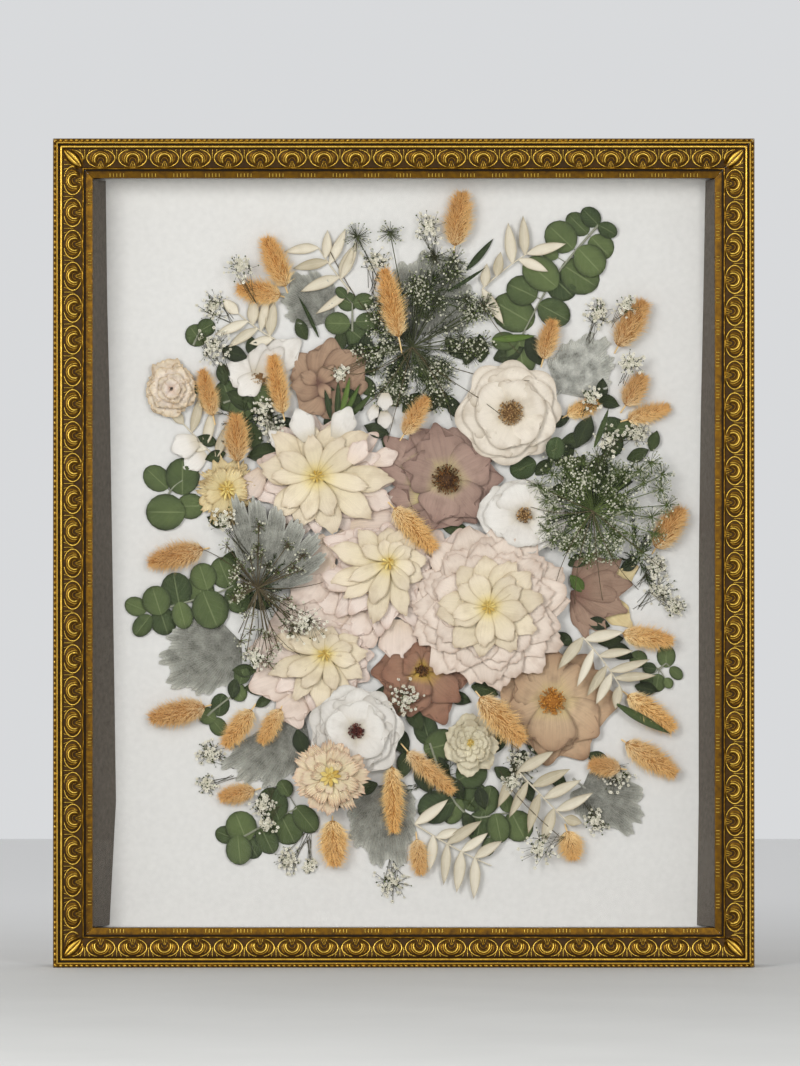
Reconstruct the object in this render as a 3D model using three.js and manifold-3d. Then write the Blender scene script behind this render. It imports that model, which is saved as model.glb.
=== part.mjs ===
// A shadow-box picture frame with a bouquet of pressed flowers laid up on a white board.
// It stands on its bottom rail. X runs to the viewer's right, Z up, and the front faces -Y.
// The origin is the middle of the bottom of the whole frame.

import * as THREE from 'three';
import { mergeVertices } from 'three/addons/utils/BufferGeometryUtils.js';
import Module from 'manifold-3d';

const wasm = await Module();
wasm.setup();

// Driving dimensions in millimetres
const INCH = 25.4;
const WIDTH = 22 * INCH;
const HEIGHT = 26 * INCH;
const DEPTH = 50;
const RAIL = 1.25 * INCH;
const LIP = 0.25 * INCH;
const MOTIF = 1 * INCH;
const GAP = 0.3;
const FLAT = 0.08;

// The hanger stands proud of the rails, and the origin is midway between its back and the front
const HANGER = { length: 46, height: 13, thickness: 1, teeth: 5, tooth: 3 };
const BACK = (DEPTH - GAP - HANGER.thickness) / 2;

// Heights above the back plane of the rails
const LEDGE = 40;
const GLASS = 2;
const COVER_BOTTOM = 1.5;
const COVER = 2.5;
const BOARD = 3;
const BOARD_BOTTOM = COVER_BOTTOM + COVER + GAP;
const BOARD_FACE = BOARD_BOTTOM + BOARD;
const GLASS_BOTTOM = LEDGE - GAP - GLASS;
const PLAY = 0.8;
const LINER = 2;

// The photograph's frame: its scale, and the pixel at the middle of the moulding's outline
const PHOTO_FRAME_WIDTH = 702;
const PHOTO_MIDDLE = [403.75, 553];
const SCALE = WIDTH / PHOTO_FRAME_WIDTH;

const GOLD = { color: 0xa97f24, roughness: 0.38, metalness: 0.75 };
const CLEAR = { color: 0xf4f8f6, roughness: 0.03, metalness: 0, transparent: true, opacity: 0.15 };
const CARD = { color: 0x938a80, roughness: 0.9, metalness: 0 };
const WHITE_BOARD = { color: 0xe4e2df, roughness: 0.95, metalness: 0 };
const HARDBOARD = { color: 0x6f5136, roughness: 0.85, metalness: 0 };
const STEEL = { color: 0xb9b6ac, roughness: 0.35, metalness: 1 };
const IVORY = { color: 0xeee6da, roughness: 0.8, metalness: 0 };
const CREAM = { color: 0xeee2bd, roughness: 0.8, metalness: 0 };
const BLUSH = { color: 0xe9d6ce, roughness: 0.8, metalness: 0 };
const MAUVE = { color: 0x96787a, roughness: 0.8, metalness: 0 };
const TAUPE = { color: 0xb9a083, roughness: 0.8, metalness: 0 };
const SAGE = { color: 0x54683f, roughness: 0.75, metalness: 0 };
const SILVER = { color: 0x9b9d9b, roughness: 0.9, metalness: 0 };
const BLEACHED = { color: 0xe1d7c3, roughness: 0.8, metalness: 0 };
const OLIVE = { color: 0x6c7256, roughness: 0.85, metalness: 0 };
const TAN = { color: 0xd39c62, roughness: 0.95, metalness: 0 };

const frame = new THREE.Group();

function addMesh(parent, name, geometry, look) {
  const mesh = new THREE.Mesh(geometry, new THREE.MeshStandardMaterial(look));
  mesh.name = name;
  parent.add(mesh);
  return mesh;
}

// Closed triangle meshes: making, joining and reading them

function meshFrom(points, triangles) {
  const geometry = new THREE.BufferGeometry();
  geometry.setAttribute('position', new THREE.Float32BufferAttribute(points.flat(), 3));
  geometry.setIndex(triangles.flat());
  return geometry;
}

// Turns a closed mesh right side out when its triangles run the wrong way round
function facingOut(geometry) {
  const bare = geometry.clone();
  bare.deleteAttribute('normal');
  bare.deleteAttribute('uv');
  const welded = mergeVertices(bare, 1e-4);
  const index = welded.index.array;
  const [a, b, c] = [0, 1, 2].map(() => new THREE.Vector3());
  let volume = 0;
  for (let i = 0; i < index.length; i += 3) {
    [a, b, c].forEach((corner, j) => corner.fromBufferAttribute(welded.attributes.position, index[i + j]));
    volume += a.dot(b.cross(c));
  }
  if (volume < 0) {
    for (let i = 0; i < index.length; i += 3) [index[i], index[i + 1]] = [index[i + 1], index[i]];
  }
  return welded;
}

function toSolid(geometry) {
  const closed = facingOut(geometry);
  return new wasm.Manifold(new wasm.Mesh({
    numProp: 3,
    vertProperties: new Float32Array(closed.attributes.position.array),
    triVerts: new Uint32Array(closed.index.array),
  }));
}

function toGeometry(solid) {
  const mesh = solid.getMesh();
  const geometry = new THREE.BufferGeometry();
  geometry.setAttribute('position', new THREE.BufferAttribute(mesh.vertProperties, 3));
  geometry.setIndex(new THREE.BufferAttribute(mesh.triVerts, 1));
  return geometry;
}

function fuse(geometries) {
  let whole = toSolid(geometries[0]);
  for (const geometry of geometries.slice(1)) whole = whole.add(toSolid(geometry));
  return toGeometry(whole.simplify(FLAT));
}

// Places on the board, from pixels of the photograph: u to the right and v up, in millimetres

function place([px, py]) {
  return [(px - PHOTO_MIDDLE[0]) * SCALE, HEIGHT / 2 - (py - PHOTO_MIDDLE[1]) * SCALE];
}

function between(a, b, t) {
  return a.map((value, axis) => value + (b[axis] - value) * t);
}

function distance(a, b) {
  return Math.hypot(b[0] - a[0], b[1] - a[1]);
}

// The moulding: inset from the outer edge, and height above the back plane
const MOULDING = [
  [0, 0], [0, 46.4], [0.6, 48], [1.9, 48.2], [2.6, DEPTH], [5.2, DEPTH], [6, 47.8], [7.2, 48],
  [8.4, 49.2], [23.4, 46.2], [24.2, 46.9], [25.6, 46.2], [26.4, 44.8], [31, 44], [RAIL, 43],
  [RAIL, LEDGE], [RAIL - LIP, LEDGE], [RAIL - LIP, 0],
];
const BAND = { outer: 8.4, inner: 23.4, outerHeight: 49.2, innerHeight: 46.2 };
const BAND_MIDDLE = (BAND.outer + BAND.inner) / 2;
const BAND_HALF = (BAND.inner - BAND.outer) / 2 - 0.5;
const EYE_RISE = 1.9;
const EYE_SUNK = 0.2;

// Eyes along a rail, and how far their row lies off the rail's middle, as a share of their spacing
const EYES_ACROSS = { count: 20, shift: 0 };
const EYES_LEFT = { count: 23, shift: -0.32 };
const EYES_RIGHT = { count: 23, shift: -0.42 };

function bandFace(inset) {
  const t = (inset - BAND.outer) / (BAND.inner - BAND.outer);
  return BAND.outerHeight + (BAND.innerHeight - BAND.outerHeight) * t;
}

// One raised eye of the carved band, its points touching the eyes beside it
function eye(along) {
  const corners = [[-1, 0], [-0.6, -0.8], [0, -1], [0.6, -0.8], [1, 0], [0.5, 0.9], [-0.5, 0.9]];
  const reach = MOTIF / 2 - 0.6;
  const ring = corners.map(([s, r]) => [along + s * reach, BAND_MIDDLE + r * BAND_HALF]);
  const count = ring.length;
  const points = ring.map(([s, r]) => [s, r, bandFace(r) - EYE_SUNK]);
  const peak = BAND_MIDDLE + 1.5;
  points.push([along, peak, bandFace(peak) + EYE_RISE], [along, BAND_MIDDLE, bandFace(BAND_MIDDLE) - 2]);
  const triangles = [];
  for (let i = 0; i < count; i += 1) {
    const next = (i + 1) % count;
    triangles.push([i, next, count], [next, i, count + 1]);
  }
  return meshFrom(points, triangles);
}

// A rail of the given outer length, mitred at both ends, in (along, inset, height)
function railSolid(length, eyes) {
  const outline = new THREE.Shape(MOULDING.map(([inset, height]) => new THREE.Vector2(inset, height)));
  const bar = new THREE.ExtrudeGeometry(outline, { depth: 2, bevelEnabled: false });
  const { position } = bar.attributes;
  for (let i = 0; i < position.count; i += 1) {
    const [inset, height] = [position.getX(i), position.getY(i)];
    const half = length / 2 - inset - GAP / 2;
    position.setXYZ(i, (position.getZ(i) - 1) * half, inset, height);
  }
  const pieces = [bar];
  for (let i = 0; i < eyes.count; i += 1) {
    pieces.push(eye((i - (eyes.count - 1) / 2 + eyes.shift) * MOTIF));
  }
  return fuse(pieces);
}

// Moves a rail from (along, inset, height) to its side of the frame
function addRail(name, length, eyes, toX, toZ) {
  const geometry = railSolid(length, eyes);
  const { position } = geometry.attributes;
  for (let i = 0; i < position.count; i += 1) {
    const [along, inset, height] = [position.getX(i), position.getY(i), position.getZ(i)];
    position.setXYZ(i, toX(along, inset), BACK - height, toZ(along, inset));
  }
  addMesh(frame, name, facingOut(geometry), GOLD);
}

addRail('frame_rail_top', WIDTH, EYES_ACROSS, (s) => s, (s, r) => HEIGHT - r);
addRail('frame_rail_bottom', WIDTH, EYES_ACROSS, (s) => s, (s, r) => r);
addRail('frame_rail_left', HEIGHT, EYES_LEFT, (s, r) => r - WIDTH / 2, (s) => HEIGHT / 2 + s);
addRail('frame_rail_right', HEIGHT, EYES_RIGHT, (s, r) => WIDTH / 2 - r, (s) => HEIGHT / 2 + s);

// Flat sheets in the rabbet
const RABBET_WIDTH = WIDTH - 2 * (RAIL - LIP + PLAY);
const RABBET_HEIGHT = HEIGHT - 2 * (RAIL - LIP + PLAY);
const OPENING_WIDTH = WIDTH - 2 * RAIL;
const OPENING_HEIGHT = HEIGHT - 2 * RAIL;

function addSheet(name, width, height, bottom, thickness, look, zMiddle = HEIGHT / 2) {
  const sheet = addMesh(frame, name, new THREE.BoxGeometry(width, thickness, height), look);
  sheet.position.set(0, BACK - bottom - thickness / 2, zMiddle);
}

addSheet('glass_pane', RABBET_WIDTH, RABBET_HEIGHT, GLASS_BOTTOM, GLASS, CLEAR);
addSheet('backing_board', RABBET_WIDTH, RABBET_HEIGHT, BOARD_BOTTOM, BOARD, WHITE_BOARD);
addSheet('rear_cover', RABBET_WIDTH, RABBET_HEIGHT, COVER_BOTTOM, COVER, HARDBOARD);

// Liner strips between glass and board; the side strips bow inward towards the board
const LINER_DEPTH = GLASS_BOTTOM - BOARD_FACE - 2 * GAP;
const LINER_BOTTOM = BOARD_FACE + GAP;
const LINER_HALF = OPENING_HEIGHT / 2 + LINER;

addSheet('liner_top', OPENING_WIDTH, LINER, LINER_BOTTOM, LINER_DEPTH, CARD, HEIGHT - RAIL + LINER);
addSheet('liner_bottom', OPENING_WIDTH, LINER, LINER_BOTTOM, LINER_DEPTH, CARD, RAIL - LINER);

// Inward reach of each side strip at the board, from the top of the strip to its bottom
const LEFT_BOW = [8.8, 10, 12.4, 14, 15.6, 17, 11.8];
const RIGHT_BOW = [5.8, 7.6, 9.8, 11, 11.2, 11.2, 12.6];

function addSideLiner(name, side, bow) {
  const points = [];
  const half = OPENING_HEIGHT / 2 - GAP;
  for (const [i, reach] of bow.entries()) {
    const z = HEIGHT / 2 + half - (2 * half * i) / (bow.length - 1);
    const front = OPENING_WIDTH / 2 + LINER;
    for (const [x, height] of [
      [front, LINER_BOTTOM + LINER_DEPTH], [front - LINER, LINER_BOTTOM + LINER_DEPTH],
      [front - LINER - reach, LINER_BOTTOM], [front - reach, LINER_BOTTOM],
    ]) points.push([side * x, BACK - height, z]);
  }
  const triangles = [[0, 1, 2], [0, 2, 3]];
  const last = 4 * (bow.length - 1);
  triangles.push([last, last + 2, last + 1], [last, last + 3, last + 2]);
  for (let i = 0; i < bow.length - 1; i += 1) {
    for (let j = 0; j < 4; j += 1) {
      const [a, b] = [4 * i + j, 4 * i + ((j + 1) % 4)];
      triangles.push([a, a + 4, b], [b, a + 4, b + 4]);
    }
  }
  addMesh(frame, name, facingOut(meshFrom(points, triangles)), CARD);
}

addSideLiner('liner_left', -1, LEFT_BOW);
addSideLiner('liner_right', 1, RIGHT_BOW);

// Sawtooth hanger on the back of the top rail
function hangerSolid() {
  const outline = new THREE.Shape();
  outline.moveTo(-HANGER.length / 2, 0);
  for (let i = 0; i <= HANGER.teeth; i += 1) {
    const x = (i / HANGER.teeth - 0.5) * HANGER.length * 0.5;
    outline.lineTo(x, HANGER.tooth * 0.4);
    if (i < HANGER.teeth) outline.lineTo(x + HANGER.length / HANGER.teeth / 4, HANGER.tooth);
  }
  outline.lineTo(HANGER.length / 2, 0);
  outline.lineTo(HANGER.length / 2, HANGER.height * 0.6);
  outline.lineTo(HANGER.length * 0.3, HANGER.height);
  outline.lineTo(-HANGER.length * 0.3, HANGER.height);
  outline.lineTo(-HANGER.length / 2, HANGER.height * 0.6);
  return new THREE.ExtrudeGeometry(outline, { depth: HANGER.thickness, bevelEnabled: false });
}

const hanger = addMesh(frame, 'sawtooth_hanger', hangerSolid(), STEEL);
hanger.rotation.x = Math.PI / 2;
hanger.position.set(0, BACK + GAP + HANGER.thickness, HEIGHT - RAIL * 0.68);

// The board: botanical pieces lie in (u, v, w) with w the height above its white face
const board = new THREE.Group();
board.rotation.x = Math.PI / 2;
board.position.set(0, BACK - BOARD_FACE, 0);
frame.add(board);

// A thin leaf or petal: an outline with a raised middle above and a low middle below
function lens(outline, rim, thickness) {
  const count = outline.length;
  const u = outline.reduce((sum, point) => sum + point[0], 0) / count;
  const v = outline.reduce((sum, point) => sum + point[1], 0) / count;
  const points = outline.map((point) => [point[0], point[1], rim]);
  points.push([u, v, rim + thickness / 2], [u, v, rim - thickness / 2]);
  const triangles = [];
  for (let i = 0; i < count; i += 1) {
    const next = (i + 1) % count;
    triangles.push([i, next, count], [next, i, count + 1]);
  }
  return facingOut(meshFrom(points, triangles));
}

function disc([u, v], radiusU, radiusV, sides, turn = 0) {
  const outline = [];
  for (let i = 0; i < sides; i += 1) {
    const angle = (2 * Math.PI * i) / sides;
    const [a, b] = [radiusU * Math.cos(angle), radiusV * Math.sin(angle)];
    const [cos, sin] = [Math.cos(turn), Math.sin(turn)];
    outline.push([u + a * cos - b * sin, v + a * sin + b * cos]);
  }
  return outline;
}

// A leaf or petal outline from its foot to its tip
function almond(foot, tip, width, fullest = 0.5) {
  const [du, dv] = [tip[0] - foot[0], tip[1] - foot[1]];
  const length = Math.hypot(du, dv);
  const [su, sv] = [-dv / length, du / length];
  const shape = [[0, 0.12], [0.3, 0.44], [fullest + 0.2, 0.42], [1, 0.05]];
  const side = (sign) => shape.map(([t, half]) => [
    foot[0] + du * t + sign * su * width * half, foot[1] + dv * t + sign * sv * width * half,
  ]);
  return [...side(1), ...side(-1).reverse()];
}

// A stem through its points, as a closed tube with flat ends
function stem(points, radius, w, sides = 4) {
  const rings = points.map((point, i) => {
    const before = points[Math.max(i - 1, 0)];
    const after = points[Math.min(i + 1, points.length - 1)];
    const [du, dv] = [after[0] - before[0], after[1] - before[1]];
    const length = Math.hypot(du, dv);
    return disc([0, 0], radius, radius, sides, Math.PI / sides).map(([across, up]) => [
      point[0] - (dv / length) * across, point[1] + (du / length) * across, w + up,
    ]);
  });
  const count = sides * points.length;
  const triangles = [];
  for (let i = 0; i < count - sides; i += 1) {
    const next = (i % sides === sides - 1) ? i + 1 - sides : i + 1;
    triangles.push([i, next, i + sides], [next, next + sides, i + sides]);
  }
  for (let i = 1; i < sides - 1; i += 1) {
    triangles.push([0, i + 1, i], [count - sides, count - sides + i, count - sides + i + 1]);
  }
  return facingOut(meshFrom(rings.flat(), triangles));
}

// A flower head: rings of petals round a core, each row of points a closed loop about the middle.
// The reaches are to the left, right, top and bottom; the petal rims stand higher than their feet.
function rosette({ at, reach, petals, height, core, notch = 0.12, samples = 3 }) {
  const [middleU, middleV] = place(at);
  const [left, right, up, down] = reach.map((pixels) => pixels * SCALE);
  const count = petals * samples;
  const rows = [
    { out: core / Math.max(...reach), w: 0.85, notch: 0, phase: 0 },
    { out: 0.52, w: 1, notch, phase: 0 },
    { out: 0.58, w: 0.5, notch: 0, phase: 0 },
    { out: 1, w: 0.6, notch, phase: Math.PI },
    { out: 0.6, w: 0.14, notch: 0, phase: 0 },
  ];
  const points = rows.flatMap((row) => Array.from({ length: count }, (_, i) => {
    const angle = (2 * Math.PI * i) / count;
    const [cos, sin] = [Math.cos(angle), Math.sin(angle)];
    const scallop = 1 - row.notch * (1 - Math.abs(Math.cos((angle * petals + row.phase) / 2)));
    const outward = row.out * scallop;
    return [
      middleU + cos * outward * (cos < 0 ? left : right),
      middleV + sin * outward * (sin < 0 ? down : up), row.w * height,
    ];
  }));
  const top = points.push([middleU, middleV, height * 0.95]) - 1;
  const bottom = points.push([middleU, middleV, 0]) - 1;
  const triangles = [];
  for (let i = 0; i < count; i += 1) {
    const next = (i + 1) % count;
    triangles.push([top, i, next]);
    for (let row = 0; row < rows.length - 1; row += 1) {
      const [a, b] = [row * count + i, row * count + next];
      triangles.push([a, a + count, b], [b, a + count, b + count]);
    }
    const last = (rows.length - 1) * count;
    triangles.push([bottom, last + next, last + i]);
  }
  return facingOut(meshFrom(points, triangles));
}

// Height of the i-th of many thin leaves that pass over each other in three layers
function layer(i, step) {
  return step * (0.6 + (i % 3));
}

// A flower of a few free petals: each petal's tip and width in pixels, and its middle
function petalFlower({ at, petals, core }) {
  const middle = place(at);
  const pieces = petals.map(([tip, width], i) => {
    const outline = almond(middle, place(tip), width * SCALE, 0.6);
    return lens(outline, layer(i, 1.2), 1);
  });
  pieces.push(lens(disc(middle, core * SCALE, core * SCALE, 7), layer(1, 1.2), 5));
  return fuse(pieces);
}

function nearest(points, target) {
  let best = points[0];
  for (let i = 0; i < points.length - 1; i += 1) {
    for (const t of [0, 0.25, 0.5, 0.75, 1]) {
      const candidate = between(points[i], points[i + 1], t);
      if (distance(candidate, target) < distance(best, target)) best = candidate;
    }
  }
  return best;
}

const LEAF_STEP = 0.9;

// A eucalyptus spray: a stem and round leaves, each leaf [x, y, radius] in pixels
function eucalyptus({ along, leaves }) {
  const line = along.map(place);
  const pieces = [stem(line, 1.3, layer(1, LEAF_STEP))];
  for (const [i, [px, py, radius]] of leaves.entries()) {
    const middle = place([px, py]);
    const w = layer(i, LEAF_STEP);
    pieces.push(lens(disc(middle, radius * SCALE, radius * SCALE, 6, i), w, 0.8));
    const foot = nearest(line, middle);
    if (distance(foot, middle) > 0.7 * radius * SCALE) pieces.push(stem([foot, middle], 0.4, w, 3));
  }
  return fuse(pieces);
}

// A bleached ruscus sprig: a stem and pointed leaves that start at the stem
function ruscus({ along, leaves }) {
  const line = along.map(place);
  const pieces = [stem(line, 0.6, 1.1)];
  for (const [i, leaf] of leaves.entries()) {
    const middle = place(leaf);
    const foot = nearest(line, middle);
    const stretch = Math.min(2, (34 * SCALE) / distance(foot, middle));
    pieces.push(lens(almond(foot, between(foot, middle, stretch), 11 * SCALE), 0.9 + 0.3 * (i % 3), 1.3));
  }
  return fuse(pieces);
}

// A dusty miller leaf: lobes given as tips in pixels, with a notch between each two, and a petiole
function dustyMiller({ at, tips, foot }) {
  const middle = place(at);
  const outline = tips.flatMap((tip, i) => {
    const here = place(tip);
    const next = place(tips[(i + 1) % tips.length]);
    return [here, between(middle, between(here, next, 0.5), 0.8)];
  });
  return fuse([lens(outline, 0.9, 1.4), stem([middle, place(foot)], 0.9, 1)]);
}

const HUB = 5;

// A flat umbel: rays from one point, each ending in a small cluster
function umbel({ at, clusters, size }) {
  const middle = place(at);
  const pieces = [lens(disc(middle, HUB, HUB, 6), 1.5, 2.6)];
  for (const [i, cluster] of clusters.entries()) {
    const end = place(cluster);
    const start = between(middle, end, (0.7 * HUB) / distance(middle, end));
    pieces.push(stem([start, end], 0.45, 1.5, 3));
    pieces.push(lens(disc(end, size * SCALE, size * SCALE, 5, i), 1.5, 2.6));
  }
  return fuse(pieces);
}

// A bunny-tail head: a flattened egg from base to tip, with its stem running on from the base
const TAIL_SIDES = 7;
const TAIL_FLATNESS = 0.55;

function bunnyTail({ base, tip, width, stalk }) {
  const [foot, end] = [place(base), place(tip)];
  const length = distance(foot, end);
  const radius = (width * SCALE) / 2;
  const half = [[0, 0], [0.7, 0.12], [1, 0.4], [0.8, 0.75], [0, 1]];
  const egg = new THREE.LatheGeometry(
    half.map(([r, t]) => new THREE.Vector2(r * radius, t * length)), TAIL_SIDES,
  );
  egg.scale(1, 1, TAIL_FLATNESS);
  egg.rotateZ(Math.atan2(end[1] - foot[1], end[0] - foot[0]) - Math.PI / 2);
  egg.translate(foot[0], foot[1], radius * TAIL_FLATNESS);
  const line = [between(foot, end, 0.2), place(stalk)];
  return fuse([egg, stem(line, 0.8, radius * TAIL_FLATNESS)]);
}

// Lays each piece on whatever already lies under it, as the bouquet was laid up from the board
const CELL = 3;
const heights = new Map();

function cellsOf(geometry) {
  const cells = new Map();
  const { position } = geometry.attributes;
  const index = geometry.index ? geometry.index.array : [...Array(position.count).keys()];
  const corner = (i) => [position.getX(index[i]), position.getY(index[i]), position.getZ(index[i])];
  for (let i = 0; i < index.length; i += 3) {
    const [a, b, c] = [corner(i), corner(i + 1), corner(i + 2)];
    const longest = Math.max(distance(a, b), distance(b, c), distance(c, a));
    const steps = Math.max(2, Math.ceil((2 * longest) / CELL));
    for (let p = 0; p <= steps; p += 1) {
      for (let q = 0; q <= steps - p; q += 1) {
        const along = between(a, b, p / steps);
        const point = along.map((value, axis) => value + ((c[axis] - a[axis]) * q) / steps);
        const key = `${Math.floor(point[0] / CELL)},${Math.floor(point[1] / CELL)}`;
        const seen = cells.get(key) ?? { low: point[2], high: point[2] };
        cells.set(key, { low: Math.min(seen.low, point[2]), high: Math.max(seen.high, point[2]) });
      }
    }
  }
  return cells;
}

function layDown(name, geometry, look) {
  const cells = cellsOf(geometry);
  let lift = -Infinity;
  for (const [key, { low }] of cells) {
    const [i, j] = key.split(',').map(Number);
    for (const di of [-1, 0, 1]) {
      for (const dj of [-1, 0, 1]) {
        const below = heights.get(`${i + di},${j + dj}`) ?? 0;
        lift = Math.max(lift, below - low + GAP);
      }
    }
  }
  for (const [key, { high }] of cells) {
    heights.set(key, Math.max(heights.get(key) ?? 0, high + lift));
  }
  addMesh(board, name, geometry, look).position.z = lift;
}

// Dusty miller leaves on the board
const DUSTY_MILLER = {
  dusty_miller_top: {
    at: [433, 296], foot: [428, 330],
    tips: [[395, 262], [428, 246], [456, 254], [474, 290], [466, 330], [440, 352], [405, 340], [393, 300]],
  },
  dusty_miller_right: {
    at: [585, 362], foot: [560, 392],
    tips: [[569, 340], [592, 330], [608, 335], [617, 360], [612, 385], [585, 397], [556, 388], [548, 362]],
  },
  dusty_miller_left: {
    at: [197, 658], foot: [242, 642],
    tips: [[190, 620], [222, 628], [240, 655], [232, 684], [200, 696], [168, 688], [156, 660], [166, 634]],
  },
  dusty_miller_low_left: {
    at: [264, 752], foot: [306, 716],
    tips: [[292, 716], [306, 738], [300, 770], [265, 790], [240, 784], [218, 770], [232, 748], [262, 730]],
  },
  dusty_miller_low: {
    at: [380, 826], foot: [386, 786],
    tips: [[362, 790], [400, 782], [414, 808], [412, 842], [404, 868], [376, 868], [352, 846], [348, 812]],
  },
  dusty_miller_low_right: {
    at: [612, 806], foot: [584, 788],
    tips: [[590, 776], [628, 774], [645, 794], [644, 822], [634, 838], [606, 826], [580, 816], [572, 792]],
  },
};
for (const [name, leaf] of Object.entries(DUSTY_MILLER)) layDown(name, dustyMiller(leaf), SILVER);

// Eucalyptus sprays
const EUCALYPTUS = {
  eucalyptus_top_right: {
    along: [[600, 223], [562, 269], [520, 330]],
    leaves: [[579, 222, 14], [592, 214, 8], [609, 228, 9], [603, 246, 12], [562, 237, 15],
      [591, 259, 15], [581, 274, 17], [541, 270, 18], [563, 286, 15], [523, 290, 14],
      [555, 311, 16], [514, 311, 20], [522, 354, 16]],
  },
  eucalyptus_left: {
    along: [[167, 496], [160, 484], [186, 480]],
    leaves: [[155, 478, 13], [181, 476, 16], [164, 512, 17], [189, 506, 12]],
  },
  eucalyptus_mid_left: {
    along: [[128, 610], [190, 602], [236, 586]],
    leaves: [[134, 608, 10], [141, 626, 11], [155, 601, 13], [162, 622, 12], [175, 590, 15],
      [199, 591, 15], [209, 610, 17], [223, 573, 14], [237, 599, 13]],
  },
  eucalyptus_low_left: {
    along: [[228, 846], [262, 828], [296, 808]],
    leaves: [[224, 837, 9], [241, 829, 14], [238, 852, 13], [266, 842, 13], [272, 806, 15],
      [287, 831, 14], [305, 821, 14]],
  },
  eucalyptus_low: {
    along: [[430, 744], [452, 790], [475, 816], [516, 817]],
    leaves: [[426, 731, 14], [442, 748, 16], [472, 777, 15], [486, 800, 13], [438, 809, 16],
      [480, 829, 15], [499, 830, 14], [519, 828, 14]],
  },
  eucalyptus_top: {
    along: [[352, 330], [350, 300]],
    leaves: [[347, 300, 9], [363, 300, 9], [337, 322, 11], [357, 334, 12], [368, 320, 11]],
  },
};
for (const [name, spray] of Object.entries(EUCALYPTUS)) layDown(name, eucalyptus(spray), SAGE);

// Bleached ruscus sprigs under the flowers
const RUSCUS = {
  ruscus_top: {
    along: [[349, 288], [333, 268], [318, 246]],
    leaves: [[307, 251], [327, 247], [336, 249], [343, 262], [324, 281], [330, 292]],
  },
  ruscus_mid_left: {
    along: [[217, 460], [192, 434], [170, 412]],
    leaves: [[167, 399], [181, 399], [178, 420], [194, 416], [206, 429], [219, 441]],
  },
  ruscus_top_right: {
    along: [[483, 287], [505, 268], [528, 252]],
    leaves: [[511, 245], [525, 239], [545, 246], [532, 260], [499, 267], [488, 275], [493, 303]],
  },
  ruscus_low: {
    along: [[415, 826], [455, 850], [492, 868]],
    leaves: [[429, 816], [441, 838], [458, 836], [471, 846], [434, 853], [446, 864], [459, 872]],
  },
};
for (const [name, sprig] of Object.entries(RUSCUS)) layDown(name, ruscus(sprig), BLEACHED);

// Bunny tails that lie on the board
const BUNNY_TAILS = {
  bunny_tail_top: { base: [455, 244], tip: [463, 190], width: 29, stalk: [454, 252] },
  bunny_tail_upper_right: { base: [619, 345], tip: [646, 300], width: 29, stalk: [616, 352] },
  bunny_tail_right: { base: [657, 548], tip: [684, 509], width: 28, stalk: [654, 554] },
  bunny_tail_lower_right: { base: [629, 696], tip: [676, 731], width: 25, stalk: [624, 692] },
  bunny_tail_low_right: { base: [627, 744], tip: [678, 776], width: 27, stalk: [623, 741] },
  bunny_tail_left: { base: [202, 549], tip: [147, 563], width: 27, stalk: [208, 548] },
  bunny_tail_low_left: { base: [204, 708], tip: [148, 720], width: 27, stalk: [210, 706] },
  bunny_tail_low: { base: [332, 822], tip: [334, 867], width: 30, stalk: [332, 818] },
};
for (const [name, tail] of Object.entries(BUNNY_TAILS)) layDown(name, bunnyTail(tail), TAN);

// Flower heads, from the lowest to the topmost
const PLAIN_FLOWERS = {
  dried_rose: [BLUSH, { at: [169, 388], reach: [25, 26, 28, 28], petals: 4, height: 9, core: 9 }],
  small_dahlia_left: [CREAM, {
    at: [226, 489], reach: [29, 28, 32, 36], petals: 9, height: 7, core: 6, notch: 0.28, samples: 2,
  }],
  taupe_anemone: [TAUPE, { at: [553, 702], reach: [58, 72, 60, 70], petals: 5, height: 9, core: 14 }],
  terracotta_anemone: [MAUVE, { at: [422, 671], reach: [50, 62, 36, 64], petals: 5, height: 8, core: 8 }],
  mauve_anemone: [MAUVE, { at: [447, 479], reach: [52, 58, 64, 51], petals: 5, height: 9, core: 15 }],
  white_cosmos: [IVORY, { at: [525, 515], reach: [47, 45, 37, 37], petals: 5, height: 8, core: 8 }],
  ivory_rose: [IVORY, { at: [511, 412], reach: [55, 55, 56, 56], petals: 6, height: 12, core: 13 }],
  cream_dahlia: [CREAM, {
    at: [316, 476], reach: [66, 84, 66, 64], petals: 11, height: 12, core: 6, notch: 0.24, samples: 2,
  }],
  low_dahlia: [CREAM, {
    at: [325, 654], reach: [78, 50, 32, 68], petals: 11, height: 11, core: 6, notch: 0.24, samples: 2,
  }],
  primrose_dahlia: [CREAM, {
    at: [389, 562], reach: [76, 46, 42, 78], petals: 11, height: 11, core: 6, notch: 0.24, samples: 2,
  }],
  great_dahlia: [BLUSH, {
    at: [489, 607], reach: [82, 86, 80, 85], petals: 12, height: 15, core: 7, notch: 0.14, samples: 2,
  }],
  spray_rose: [CREAM, { at: [471, 744], reach: [26, 30, 32, 36], petals: 5, height: 9, core: 9 }],
  white_rose: [IVORY, { at: [356, 732], reach: [52, 48, 50, 51], petals: 6, height: 12, core: 9 }],
  button_dahlia: [CREAM, {
    at: [330, 777], reach: [38, 38, 36, 38], petals: 9, height: 8, core: 6, notch: 0.2, samples: 2,
  }],
};
const LOOSE_FLOWERS = {
  pink_hellebore: [MAUVE, {
    at: [318, 385], core: 6,
    petals: [[[300, 345], 34], [[345, 338], 34], [[368, 372], 34], [[340, 415], 30], [[292, 405], 32]],
  }],
  pale_blossom: [IVORY, { at: [260, 372], core: 7, petals: [[[224, 376], 30], [[300, 342], 32]] }],
  dusky_fan: [MAUVE, {
    at: [578, 590], core: 5,
    petals: [[[612, 556], 32], [[632, 580], 34], [[622, 622], 34], [[592, 636], 28]],
  }],
};
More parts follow.
